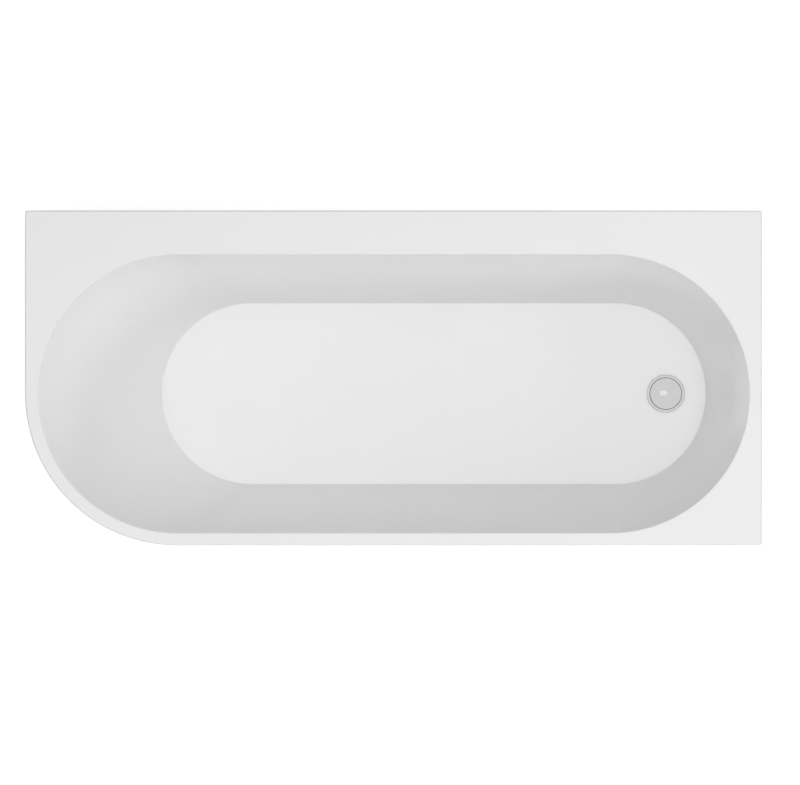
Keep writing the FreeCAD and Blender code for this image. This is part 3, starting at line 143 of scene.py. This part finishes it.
class Paint:
    """A material under way: a principled shader and the nodes that feed it."""

    NEW_STOP = 0.5

    def __init__(self, name: str) -> None:
        """Start a material.

        Args:
            name: The material's name.
        """
        self.material = bpy.data.materials.new(name)
        self.material.use_nodes = True
        self.tree = self.material.node_tree
        self.shader = self.tree.nodes["Principled BSDF"]
        self.place = self.node("ShaderNodeTexCoord", output="Object")

    def node(
        self,
        kind: str,
        settings: Optional[Mapping[str, Any]] = None,
        inputs: Optional[Mapping[Union[int, str], Any]] = None,
        output: Union[int, str] = 0,
    ) -> Value:
        """Add a node.

        Args:
            kind: The node's type.
            settings: The node's own settings; stops are those of a colour ramp.
            inputs: The values or links of its sockets.
            output: The output that is wanted.

        Returns:
            That output.
        """
        made = self.tree.nodes.new(kind)
        for key, setting in (settings or {}).items():
            if key == "stops":
                self._set_stops(made.color_ramp, setting)
            else:
                setattr(made, key, setting)
        for key, value in (inputs or {}).items():
            self._feed(made.inputs[key], value)
        return Value(self, made.outputs[output])

    def _set_stops(self, ramp: bpy.types.ColorRamp, stops: Sequence[Stop]) -> None:
        """Give a colour ramp its stops.

        Args:
            ramp: The ramp.
            stops: The place and colour of each stop.
        """
        while len(ramp.elements) < len(stops):
            ramp.elements.new(self.NEW_STOP)
        for element, (place, colour) in zip(ramp.elements, stops):
            element.position = place
            element.color = (*colour, 1.0)

    def _feed(self, socket: bpy.types.NodeSocket, value: Any) -> None:
        """Set a socket to a number or a colour, or link a value to it.

        Args:
            socket: The input.
            value: What goes into it.
        """
        if isinstance(value, Value):
            self.tree.links.new(value.socket, socket)
        elif socket.type == "RGBA":
            socket.default_value = (*value, 1.0)
        else:
            socket.default_value = value

    def spread(
        self,
        scale: Point,
        turn: Point = NO_TURN,
        shift: Point = ORIGIN,
    ) -> Value:
        """Shift, turn and stretch the place that a pattern is read from.

        Args:
            scale: How many features fit in a metre, along each axis.
            turn: The turn about each axis in degrees.
            shift: The place of the pattern's origin.

        Returns:
            The place to read.
        """
        moved = {
            "Vector": self.place,
            "Location": shift,
            "Rotation": tuple(map(math.radians, turn)),
            "Scale": tuple(1.0 / count for count in scale),
        }
        return self.node("ShaderNodeMapping", {"vector_type": "TEXTURE"}, moved)

    def noise(self, scale: float, detail: float, place: Optional[Value] = None) -> Value:
        """Read soft noise between 0 and 1.

        Args:
            scale: Features in a metre, or in a unit of a stretched place.
            detail: How many finer layers it has.
            place: Where it is read, if not at the surface's own place.

        Returns:
            The noise.
        """
        inputs = {"Vector": place or self.place, "Scale": scale, "Detail": detail}
        return self.node("ShaderNodeTexNoise", {}, inputs)

    def streaks(self, scale: Point, detail: float, turn: Point = NO_TURN) -> Value:
        """Read soft noise that is stretched along an axis.

        Args:
            scale: Features in a metre, along each axis.
            detail: How many finer layers it has.
            turn: The turn about each axis in degrees.

        Returns:
            The noise.
        """
        return self.noise(1.0, detail, self.spread(scale, turn))

    def cells(self, scale: float, place: Optional[Value] = None) -> Value:
        """Read one random number for each cell of a crystal pattern.

        Args:
            scale: Cells in a metre, or in a unit of a stretched place.
            place: Where it is read, if not at the surface's own place.

        Returns:
            The number.
        """
        inputs = {"Vector": place or self.place, "Scale": scale}
        tint = self.node("ShaderNodeTexVoronoi", {"feature": "F1"}, inputs, "Color")
        return self.node("ShaderNodeSeparateColor", {}, {0: tint})

    def band(self, value: Value, low: float, high: float) -> Value:
        """Spread the range between two levels over 0 to 1.

        Args:
            value: What is spread.
            low: The level that becomes 0.
            high: The level that becomes 1.

        Returns:
            The spread value.
        """
        inputs = {"Value": value, "From Min": low, "From Max": high}
        return self.node("ShaderNodeMapRange", {"clamp": True}, inputs)

    def blend(self, share: Number, first: Any, second: Any) -> Value:
        """Mix two colours.

        Args:
            share: How much of the second there is.
            first: The first colour.
            second: The second colour.

        Returns:
            The mixed colour.
        """
        # Its colour sockets share their names with others, so they go by number
        inputs = {0: share, 6: first, 7: second}
        return self.node("ShaderNodeMix", {"data_type": "RGBA"}, inputs, 2)

    def ramp(self, value: Value, stops: Sequence[Stop]) -> Value:
        """Turn a value into a colour.

        Args:
            value: What is looked up.
            stops: The place and colour of each stop.

        Returns:
            The colour.
        """
        return self.node("ShaderNodeValToRGB", {"stops": stops}, {0: value})

    def bump(self, height: Value, depth: float, strength: float) -> Value:
        """Raise a surface by a pattern.

        Args:
            height: The pattern, from 0 to 1.
            depth: The relief in metres.
            strength: How much of it shows.

        Returns:
            The normal.
        """
        inputs = {"Height": height, "Distance": depth, "Strength": strength}
        return self.node("ShaderNodeBump", {}, inputs)

    def finish(self, **sockets: Any) -> bpy.types.Material:
        """Set the shader's sockets.

        Args:
            sockets: A value for each socket, with underscores for its spaces.

        Returns:
            The finished material.
        """
        for name, value in sockets.items():
            self._feed(self.shader.inputs[name.replace("_", " ")], value)
        return self.material


@dataclass(frozen=True)
class Acrylic:
    """Gloss white acrylic sheet, faintly clouded and rippled from its mould."""

    name: str
    colour: Colour = (0.86, 0.86, 0.86)
    shade: Colour = (0.845, 0.845, 0.845)
    gloss: float = 0.16
    haze: float = 0.08
    ripple: float = 0.0004
    index: float = 1.49

    def make(self) -> bpy.types.Material:
        """Mix the material.

        Returns:
            The material.
        """
        paint = Paint(self.name)
        clouds = paint.band(paint.noise(scale=2.2, detail=2.0), low=0.35, high=0.65)
        haze = paint.noise(scale=11.0, detail=3.0)
        ripple = paint.noise(scale=24.0, detail=1.0)
        return paint.finish(
            Base_Color=paint.blend(clouds, self.colour, self.shade),
            Roughness=self.gloss + self.haze * haze,
            Normal=paint.bump(ripple, self.ripple, strength=0.25),
            IOR=self.index,
        )


@dataclass(frozen=True)
class Laminate:
    """Chopped glass strands in resin, sprayed on and rolled."""

    name: str
    resin: Colour = (0.70, 0.64, 0.49)
    thin_resin: Colour = (0.79, 0.74, 0.61)
    strand: Colour = (0.90, 0.88, 0.79)
    strand_scale: Point = (24.0, 300.0, 300.0)
    turns: tuple[Point, ...] = (
        (10.0, 25.0, 15.0),
        (70.0, -20.0, 80.0),
        (-40.0, 60.0, 130.0),
        (20.0, -65.0, 45.0),
    )
    cover: float = 0.75
    gloss: float = 0.34
    dry: float = 0.3
    strand_lift: float = 0.4
    relief: float = 0.0025
    specular: float = 0.4

    def make(self) -> bpy.types.Material:
        """Mix the material.

        Returns:
            The material.
        """
        paint = Paint(self.name)
        fibres: Optional[Value] = None
        for index, turn in enumerate(self.turns):
            place = paint.spread(self.strand_scale, turn, (float(index), 0.0, 0.0))
            strands = paint.noise(scale=1.0, detail=1.0, place=place)
            layer = paint.band(strands, low=0.54, high=0.68)
            fibres = layer if fibres is None else fibres | layer
        patches = paint.noise(scale=7.0, detail=3.0)
        lumps = paint.noise(scale=38.0, detail=3.0)
        tint = paint.blend(patches, self.resin, self.thin_resin)
        return paint.finish(
            Base_Color=paint.blend(fibres * self.cover, tint, self.strand),
            Roughness=self.gloss + self.dry * fibres,
            Normal=paint.bump(lumps + fibres * self.strand_lift, self.relief, strength=0.7),
            Specular_IOR_Level=self.specular,
        )


@dataclass(frozen=True)
class Chipboard:
    """Pressed wood flakes of mixed tone."""

    name: str
    flake_scale: Point = (170.0, 240.0, 420.0)
    chip_scale: Point = (420.0, 300.0, 700.0)
    chip_turn: Point = (0.0, 0.0, 30.0)
    chip_share: float = 0.4
    tones: tuple[Stop, ...] = (
        (0.0, (0.23, 0.14, 0.07)),
        (0.3, (0.44, 0.30, 0.16)),
        (0.65, (0.58, 0.43, 0.25)),
        (1.0, (0.70, 0.56, 0.36)),
    )
    gloss: float = 0.62
    dry: float = 0.2
    relief: float = 0.0006

    def make(self) -> bpy.types.Material:
        """Mix the material.

        Returns:
            The material.
        """
        paint = Paint(self.name)
        flakes = paint.cells(scale=1.0, place=paint.spread(self.flake_scale))
        chips = paint.cells(scale=1.0, place=paint.spread(self.chip_scale, self.chip_turn))
        mixed = flakes * (1.0 - self.chip_share) + chips * self.chip_share
        return paint.finish(
            Base_Color=paint.ramp(mixed, self.tones),
            Roughness=self.gloss + self.dry * chips,
            Normal=paint.bump(mixed, self.relief, strength=0.6),
        )


@dataclass(frozen=True)
class Timber:
    """Sawn softwood with its grain along the piece."""

    name: str
    ring_scale: float = 46.0
    ring_stretch: Point = (0.35, 1.0, 1.0)
    ring_turn: Point = (0.0, 3.0, 2.0)
    heart: Point = (0.0, 0.28, 0.35)
    fibre_scale: Point = (9.0, 700.0, 700.0)
    saw_scale: Point = (260.0, 12.0, 12.0)
    ring_share: float = 0.7
    fibre_share: float = 0.3
    tones: tuple[Stop, ...] = (
        (0.1, (0.74, 0.57, 0.35)),
        (0.55, (0.66, 0.48, 0.27)),
        (0.95, (0.47, 0.30, 0.14)),
    )
    gloss: float = 0.6
    dry: float = 0.2
    relief: float = 0.0005
    fibre_lift: float = 0.6
    saw_lift: float = 0.4

    def make(self) -> bpy.types.Material:
        """Mix the material.

        Returns:
            The material.
        """
        paint = Paint(self.name)
        rings = paint.node(
            "ShaderNodeTexWave",
            {"wave_type": "RINGS", "rings_direction": "X"},
            {
                "Vector": paint.spread(self.ring_stretch, self.ring_turn, self.heart),
                "Scale": self.ring_scale,
                "Distortion": 5.0,
                "Detail": 3.0,
                "Detail Scale": 1.4,
            },
            "Fac",
        )
        fibres = paint.streaks(self.fibre_scale, detail=3.0)
        sawn = paint.streaks(self.saw_scale, detail=1.0)
        grain = rings * self.ring_share + fibres * self.fibre_share
        height = fibres * self.fibre_lift + sawn * self.saw_lift
        return paint.finish(
            Base_Color=paint.ramp(grain, self.tones),
            Roughness=self.gloss + self.dry * fibres,
            Normal=paint.bump(height, self.relief, strength=0.6),
        )


@dataclass(frozen=True)
class Galvanised:
    """Dipped zinc on folded steel, with its crystals."""

    name: str
    crystal_share: float = 0.7
    small_share: float = 0.3
    greys: tuple[Stop, ...] = (
        (0.0, (0.44, 0.46, 0.48)),
        (0.5, (0.58, 0.60, 0.62)),
        (1.0, (0.74, 0.75, 0.76)),
    )
    bloom: Colour = (0.70, 0.70, 0.69)
    bloom_share: float = 0.35
    gloss: float = 0.30
    crystal_dull: float = 0.16
    bloom_dull: float = 0.15
    relief: float = 0.0002

    def make(self) -> bpy.types.Material:
        """Mix the material.

        Returns:
            The material.
        """
        paint = Paint(self.name)
        crystals = paint.cells(scale=95.0)
        small = paint.cells(scale=260.0)
        bloom = paint.band(paint.noise(scale=14.0, detail=4.0), low=0.5, high=0.75)
        grey = paint.ramp(crystals * self.crystal_share + small * self.small_share, self.greys)
        return paint.finish(
            Base_Color=paint.blend(bloom * self.bloom_share, grey, self.bloom),
            Roughness=self.gloss + self.crystal_dull * crystals + self.bloom_dull * bloom,
            Normal=paint.bump(crystals, self.relief, strength=0.25),
            Metallic=1.0,
        )


@dataclass(frozen=True)
class Plated:
    """Metal with a thin bright surface that handling has dulled in places."""

    name: str
    colour: Colour
    stain: Colour
    gloss: float
    grain: Point = (300.0, 300.0, 300.0)
    dull: float = 0.16
    line_dull: float = 0.06
    relief: float = 0.0001

    def make(self) -> bpy.types.Material:
        """Mix the material.

        Returns:
            The material.
        """
        paint = Paint(self.name)
        dulled = paint.band(paint.noise(scale=60.0, detail=4.0), low=0.42, high=0.7)
        lines = paint.streaks(self.grain, detail=2.0)
        return paint.finish(
            Base_Color=paint.blend(dulled, self.colour, self.stain),
            Roughness=self.gloss + self.dull * dulled + self.line_dull * lines,
            Normal=paint.bump(lines, self.relief, strength=0.2),
            Metallic=1.0,
        )


@dataclass(frozen=True)
class Chrome:
    """Polished chrome with the faint film that water leaves."""

    name: str
    colour: Colour = (0.585, 0.585, 0.59)
    film: Colour = (0.57, 0.57, 0.575)
    gloss: float = 0.035
    film_dull: float = 0.05

    def make(self) -> bpy.types.Material:
        """Mix the material.

        Returns:
            The material.
        """
        paint = Paint(self.name)
        smears = paint.band(paint.noise(scale=45.0, detail=3.0), low=0.45, high=0.75)
        return paint.finish(
            Base_Color=paint.blend(smears, self.colour, self.film),
            Roughness=self.gloss + self.film_dull * smears,
            Metallic=1.0,
        )


@dataclass(frozen=True)
class Moulded:
    """Moulded plastic with a fine spark-eroded texture and faint flow marks."""

    name: str
    colour: Colour
    flow: Colour
    gloss: float
    texture: float = 900.0
    flow_scale: Point = (30.0, 30.0, 9.0)
    scuff_scale: Point = (160.0, 40.0, 160.0)
    scuff_turn: Point = (0.0, 20.0, 30.0)
    grain_dull: float = 0.1
    scuff_dull: float = 0.15
    relief: float = 0.0003

    def make(self) -> bpy.types.Material:
        """Mix the material.

        Returns:
            The material.
        """
        paint = Paint(self.name)
        marks = paint.band(paint.streaks(self.flow_scale, detail=3.0), low=0.4, high=0.7)
        grain = paint.noise(self.texture, detail=2.0)
        scratches = paint.streaks(self.scuff_scale, detail=4.0, turn=self.scuff_turn)
        scuffs = paint.band(scratches, low=0.6, high=0.72)
        return paint.finish(
            Base_Color=paint.blend(marks, self.colour, self.flow),
            Roughness=self.gloss + self.grain_dull * grain + self.scuff_dull * scuffs,
            Normal=paint.bump(grain, self.relief, strength=0.35),
        )


@dataclass(frozen=True)
class Rubber:
    """Black sealing rubber with a bloom of dust."""

    name: str
    colour: Colour = (0.016, 0.016, 0.017)
    dust: Colour = (0.05, 0.05, 0.052)
    gloss: float = 0.55
    dust_dull: float = 0.25
    relief: float = 0.0002

    def make(self) -> bpy.types.Material:
        """Mix the material.

        Returns:
            The material.
        """
        paint = Paint(self.name)
        dust = paint.band(paint.noise(scale=90.0, detail=4.0), low=0.45, high=0.75)
        grain = paint.noise(scale=700.0, detail=2.0)
        return paint.finish(
            Base_Color=paint.blend(dust, self.colour, self.dust),
            Roughness=self.gloss + self.dust_dull * dust,
            Normal=paint.bump(grain, self.relief, strength=0.4),
        )


@dataclass(frozen=True)
class Paper:
    """Matt studio paper, which may be lit from behind."""

    name: str
    colour: Colour = (0.80, 0.80, 0.80)
    glow: float = 0.66
    gloss: float = 0.9

    def make(self) -> bpy.types.Material:
        """Mix the material.

        Returns:
            The material.
        """
        return Paint(self.name).finish(
            Base_Color=self.colour,
            Roughness=self.gloss,
            Specular_IOR_Level=0.0,
            Emission_Color=(1.0, 1.0, 1.0),
            Emission_Strength=self.glow,
        )


FINISHES: dict[Slot, Any] = {
    Slot.ACRYLIC: Acrylic("white_acrylic"),
    Slot.PANEL: Acrylic("panel_white_acrylic", gloss=0.2),
    Slot.LAMINATE: Laminate("sprayed_laminate"),
    Slot.CHIPBOARD: Chipboard("pressed_flakes"),
    Slot.TIMBER: Timber("sawn_softwood"),
    Slot.GALVANISED: Galvanised("dipped_zinc"),
    Slot.FASTENERS: Plated(
        "bright_zinc", colour=(0.70, 0.71, 0.71), stain=(0.55, 0.55, 0.52), gloss=0.24
    ),
    Slot.THREADED: Plated(
        "zinc_thread", colour=(0.66, 0.67, 0.67), stain=(0.50, 0.49, 0.46), gloss=0.28
    ),
    Slot.PADS: Moulded(
        "black_moulding", colour=(0.020, 0.020, 0.021), flow=(0.032, 0.032, 0.033), gloss=0.42
    ),
    Slot.ALUMINIUM: Plated(
        "mill_aluminium",
        colour=(0.76, 0.77, 0.78),
        stain=(0.66, 0.67, 0.68),
        gloss=0.26,
        grain=(900.0, 900.0, 6.0),
    ),
    Slot.CHROME: Chrome("polished_chrome"),
    Slot.RUBBER: Rubber("sealing_rubber"),
    Slot.BRASS: Plated(
        "turned_brass",
        colour=(0.72, 0.53, 0.24),
        stain=(0.55, 0.38, 0.16),
        gloss=0.22,
        grain=(40.0, 40.0, 2500.0),
    ),
    Slot.SPRING: Plated(
        "spring_wire", colour=(0.52, 0.53, 0.55), stain=(0.42, 0.42, 0.42), gloss=0.25
    ),
    Slot.TRAP: Moulded(
        "white_moulding",
        colour=(0.80, 0.80, 0.77),
        flow=(0.76, 0.76, 0.73),
        gloss=0.30,
        texture=500.0,
    ),
}


class Palette:
    """The bath's materials, one for each slot of the record."""

    def __init__(self, record: Mapping[str, Any]) -> None:
        """Mix every material.

        Args:
            record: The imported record, which names the slot of each node.
        """
        self.slots = {row["node"]: Slot(row["material_slot"]) for row in record["subparts"]}
        self.materials = {slot: finish.make() for slot, finish in FINISHES.items()}

    def dress(self, nodes: Mapping[str, bpy.types.Object]) -> None:
        """Give every CAD node its material.

        Args:
            nodes: The CAD objects by name.
        """
        for name, node in nodes.items():
            material = self.materials[self.slots[name]]
            if not node.material_slots:
                node.data.materials.append(material)
            for holder in node.material_slots:
                holder.material = material
            LOG.info("%s: %s", name, material.name)


@dataclass
class Piece:
    """A new piece of the bath and what it belongs to."""

    name: str
    slot: Slot
    body: str
    replaces: tuple[str, ...] = ()
    crease: float = 32.0

    def build(self, shape: bmesh.types.BMesh, palette: Palette) -> None:
        """Turn a shape into an object that rides on its body.

        Args:
            shape: The shape, which is used up.
            palette: The materials.
        """
        mesh = bpy.data.meshes.new(self.name)
        shape.to_mesh(mesh)
        shape.free()
        mesh.shade_smooth()
        mesh.set_sharp_from_angle(angle=math.radians(self.crease))
        mesh.materials.append(palette.materials[self.slot])
        made = bpy.data.objects.new(self.name, mesh)
        bpy.context.scene.collection.objects.link(made)
        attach(made, self.body)
        if self.replaces:
            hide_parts(*self.replaces)
        LOG.info("%s: %d faces on %s", self.name, len(mesh.polygons), self.body)


@dataclass(frozen=True)
class Thread:
    """A screw thread: a ridge wound round a plain bar along the Z axis.

    The ridge's half widths at its foot and at its crest are shares of the pitch, and its foot
    bites a little way into the bar.
    """

    radius: float
    depth: float
    pitch: float
    steps: int = 24
    bite: float = 0.0002
    foot_share: float = 0.44
    crest_share: float = 0.08

    @property
    def root(self) -> float:
        """The radius at the bottom of the thread."""
        return self.radius - self.depth

    def ridge(self, shape: bmesh.types.BMesh, bottom: float, top: float) -> None:
        """Wind the ridge as one turn and its copies, whose ends then merge.

        Args:
            shape: An empty shape, which gets the ridge.
            bottom: Where the ridge starts.
            top: Where it ends.
        """
        flank, crest = self.foot_share * self.pitch, self.crest_share * self.pitch
        foot = self.root - self.bite
        start = bottom + flank
        section = [(foot, -flank), (self.radius, -crest), (self.radius, crest), (foot, flank)]
        corners = [shape.verts.new((radius, 0.0, start + rise)) for radius, rise in section]
        pairs = zip([corners[-1], *corners], corners)
        sides = [shape.edges.new(pair) for pair in pairs]
        bmesh.ops.spin(
            shape,
            geom=[*corners, *sides],
            cent=ORIGIN,
            axis=UPRIGHT,
            dvec=(0.0, 0.0, self.pitch / self.steps),
            angle=math.tau,
            steps=self.steps,
            use_duplicate=False,
        )
        turn = [*shape.verts, *shape.edges, *shape.faces]
        for index in range(1, int((top - bottom - 2 * flank) / self.pitch)):
            copied = bmesh.ops.duplicate(shape, geom=turn)["geom"]
            points = [item for item in copied if isinstance(item, bmesh.types.BMVert)]
            bmesh.ops.translate(shape, vec=(0.0, 0.0, index * self.pitch), verts=points)
        bmesh.ops.remove_doubles(shape, verts=shape.verts, dist=MERGE_DISTANCE)
        ends = [edge for edge in shape.edges if edge.is_boundary]
        bmesh.ops.holes_fill(shape, edges=ends, sides=len(corners))

    def bar(self, shape: bmesh.types.BMesh, bottom: float, top: float, chamfer: float) -> None:
        """Turn the plain bar under the thread.

        Args:
            shape: The shape that gets the bar.
            bottom: The bar's lower end.
            top: The bar's upper end.
            chamfer: How much its upper edge is turned off.
        """
        profile = [
            (0.0, bottom),
            (self.root, bottom),
            (self.root, top - chamfer),
            (self.root - chamfer, top),
            (0.0, top),
        ]
        corners = [shape.verts.new((radius, 0.0, height)) for radius, height in profile]
        sides = [shape.edges.new(pair) for pair in zip(corners, corners[1:])]
        bmesh.ops.spin(
            shape,
            geom=[*corners, *sides],
            cent=ORIGIN,
            axis=UPRIGHT,
            dvec=ORIGIN,
            angle=math.tau,
            steps=self.steps,
            use_merge=True,
            use_duplicate=False,
        )


def close_shape(shape: bmesh.types.BMesh, place: Matrix) -> None:
    """Merge doubles, turn the faces outwards and put the shape in its place.

    Args:
        shape: The shape.
        place: Where it goes.
    """
    bmesh.ops.remove_doubles(shape, verts=shape.verts, dist=MERGE_DISTANCE)
    bmesh.ops.recalc_face_normals(shape, faces=shape.faces)
    bmesh.ops.transform(shape, matrix=place, verts=shape.verts)


@dataclass
class LegFrame:
    """The five adjustable legs, whose rods are cut with a thread."""

    legs: tuple[str, ...] = ("head_front", "head_rear", "waste_front", "waste_rear", "centre")
    thread: Thread = Thread(radius=0.006, depth=0.0009, pitch=0.00175)
    runout: float = 0.0012
    chamfer: float = 0.0006

    def build(self, palette: Palette) -> None:
        """Make the threaded rods.

        Args:
            palette: The materials.
        """
        for leg in self.legs:
            node = f"leg_rod_{leg}"
            low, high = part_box(node)
            length = high.z - low.z
            shape = bmesh.new()
            self.thread.ridge(shape, 0.0, length - self.runout)
            self.thread.bar(shape, 0.0, length, self.chamfer)
            middle = (low + high) / 2
            close_shape(shape, Matrix.Translation((middle.x, middle.y, low.z)))
            rod = Piece(f"threaded_rod_{leg}", Slot.THREADED, f"leg_{leg}", (node,))
            rod.build(shape, palette)


@dataclass
class WasteFitting:
    """The threads that show under the floor, on the waste's tail and on the trap's outlet."""

    tail: Thread = Thread(radius=0.0246, depth=0.0006, pitch=0.0023, steps=64)
    outlet: Thread = Thread(radius=0.0268, depth=0.0008, pitch=0.003, steps=64)
    gap: float = 0.0004
    trap_radius: float = 0.045

    def build(self, palette: Palette) -> None:
        """Wind both threads.

        Args:
            palette: The materials.
        """
        self._wind_tail(palette)
        self._wind_outlet(palette)

    def _wind_tail(self, palette: Palette) -> None:
        """Wind the thread between the back nut and the trap's union nut.

        Args:
            palette: The materials.
        """
        nut_low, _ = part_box("waste_back_nut")
        _, union_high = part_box("trap_union_nut")
        low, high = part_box("waste_flange")
        middle = (low + high) / 2
        shape = bmesh.new()
        self.tail.ridge(shape, union_high.z + self.gap, nut_low.z - self.gap)
        close_shape(shape, Matrix.Translation((middle.x, middle.y, 0.0)))
        Piece("waste_tail_thread", Slot.CHROME, "bath").build(shape, palette)

    def _wind_outlet(self, palette: Palette) -> None:
        """Wind the thread between the trap's body and its outlet nut.

        Args:
            palette: The materials.
        """
        cap_low, cap_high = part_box("trap_cap")
        nut_low, nut_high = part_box("trap_outlet_nut")
        centre = (nut_low + nut_high) / 2
        start = (cap_low.x + cap_high.x) / 2 + self.trap_radius
        shape = bmesh.new()
        self.outlet.ridge(shape, 0.0, nut_low.x - self.gap - start)
        along = Matrix.Rotation(math.radians(90.0), 4, "Y")
        close_shape(shape, Matrix.Translation((start, centre.y, centre.z)) @ along)
        Piece("trap_outlet_thread", Slot.TRAP, "bath").build(shape, palette)


@dataclass(frozen=True)
class Softbox:
    """A rectangular studio light."""

    name: str
    place: Point
    width: float
    depth: float
    power: float
    aim: Point = (0.0, 0.0, 0.4)
    mirrored: bool = True

    def build(self) -> None:
        """Hang the light, and keep it out of reflections if it isn't mirrored."""
        light = bpy.data.lights.new(self.name, "AREA")
        light.shape = "RECTANGLE"
        light.size, light.size_y = self.width, self.depth
        light.energy = self.power
        made = bpy.data.objects.new(self.name, light)
        made.location = self.place
        ray = Vector(self.aim) - Vector(self.place)
        made.rotation_euler = ray.to_track_quat("-Z", "Y").to_euler()
        made.visible_camera = False
        made.visible_glossy = self.mirrored
        bpy.context.scene.collection.objects.link(made)
        LOG.info("light %s: %.1f W", self.name, self.power)


@dataclass
class Studio:
    """A pale floor, soft lights and a camera straight above the bath."""

    sky: float = 0.31
    floor_size: float = 80.0
    floor_drop: float = 0.0003
    floor_paper: Paper = Paper("studio_floor")
    bounce_paper: Paper = Paper("studio_bounce", colour=(0.76, 0.76, 0.76), glow=0.03)
    camera_place: Point = (0.0145, -0.0325, 20.48)
    lens: float = 400.0
    sensor: float = 36.0
    far: float = 200.0
    lights: tuple[Softbox, ...] = (
        Softbox("overhead", (0.60, -0.035, 5.4), 3.3, 3.0, 22.9, aim=(0.60, -0.035, 0.0)),
        Softbox("front_key", (0.95, -1.79, 8.13), 2.56, 2.56, 26.0, mirrored=False),
        Softbox("waste_key", (1.55, 0.0, 8.25), 2.3, 2.3, 176.0, mirrored=False),
        Softbox("head", (-2.11, 0.0, 4.93), 2.0, 2.0, 26.3),
        Softbox("low_front", (2.35, -4.07, 2.11), 1.4, 1.4, 39.5),
        Softbox("low_waste", (4.15, 0.0, 3.20), 2.2, 2.2, 23.5, mirrored=False),
        Softbox("front_left", (-3.34, -3.34, 4.09), 3.6, 3.6, 22.9, mirrored=False),
        Softbox("spark", (0.57, 0.01, 5.0), 0.53, 0.38, 0.19, aim=(0.57, 0.01, 0.0)),
    )

    def build(self) -> None:
        """Set up the floor, the light and the camera."""
        self._floor()
        self._sky()
        for light in self.lights:
            light.build()
        self._camera()

    def _floor(self) -> None:
        """Lay the white floor that the camera sees over a duller one that throws light back."""
        shown = self._sheet(self.floor_drop, self.floor_paper)
        shown.visible_diffuse = shown.visible_glossy = False
        bounce = self._sheet(2 * self.floor_drop, self.bounce_paper)
        bounce.visible_camera = False

    def _sheet(self, drop: float, paper: Paper) -> bpy.types.Object:
        """Spread a flat sheet under the bath.

        Args:
            drop: How far it lies below the feet.
            paper: Its finish, which also names it.

        Returns:
            The sheet.
        """
        shape = bmesh.new()
        bmesh.ops.create_grid(shape, x_segments=2, y_segments=2, size=self.floor_size / 2)
        bmesh.ops.translate(shape, vec=(0.0, 0.0, -drop), verts=shape.verts)
        mesh = bpy.data.meshes.new(paper.name)
        shape.to_mesh(mesh)
        shape.free()
        mesh.materials.append(paper.make())
        sheet = bpy.data.objects.new(paper.name, mesh)
        bpy.context.scene.collection.objects.link(sheet)
        return sheet

    def _sky(self) -> None:
        """Surround the studio with even light."""
        world = bpy.data.worlds.new("studio")
        world.use_nodes = True
        background = world.node_tree.nodes["Background"]
        background.inputs["Color"].default_value = (1.0, 1.0, 1.0, 1.0)
        background.inputs["Strength"].default_value = self.sky
        scene = bpy.context.scene
        scene.world = world
        scene.view_settings.view_transform = "Standard"
        scene.view_settings.look = "None"

    def _camera(self) -> None:
        """Put the camera above the bath, with the rear wall's side at the top of the picture."""
        lens = bpy.data.cameras.new("camera")
        lens.lens = self.lens
        lens.sensor_width = self.sensor
        lens.clip_end = self.far
        camera = bpy.data.objects.new("camera", lens)
        camera.location = self.camera_place
        bpy.context.scene.collection.objects.link(camera)
        bpy.context.scene.camera = camera


def main() -> None:
    """Load the CAD model, dress it and light it."""
    logging.basicConfig(level=logging.INFO, format="%(message)s")
    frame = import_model()
    palette = Palette(frame["record"])
    palette.dress(frame["nodes"])
    LegFrame().build(palette)
    WasteFitting().build(palette)
    Studio().build()


if __name__ == "__main__":
    main()
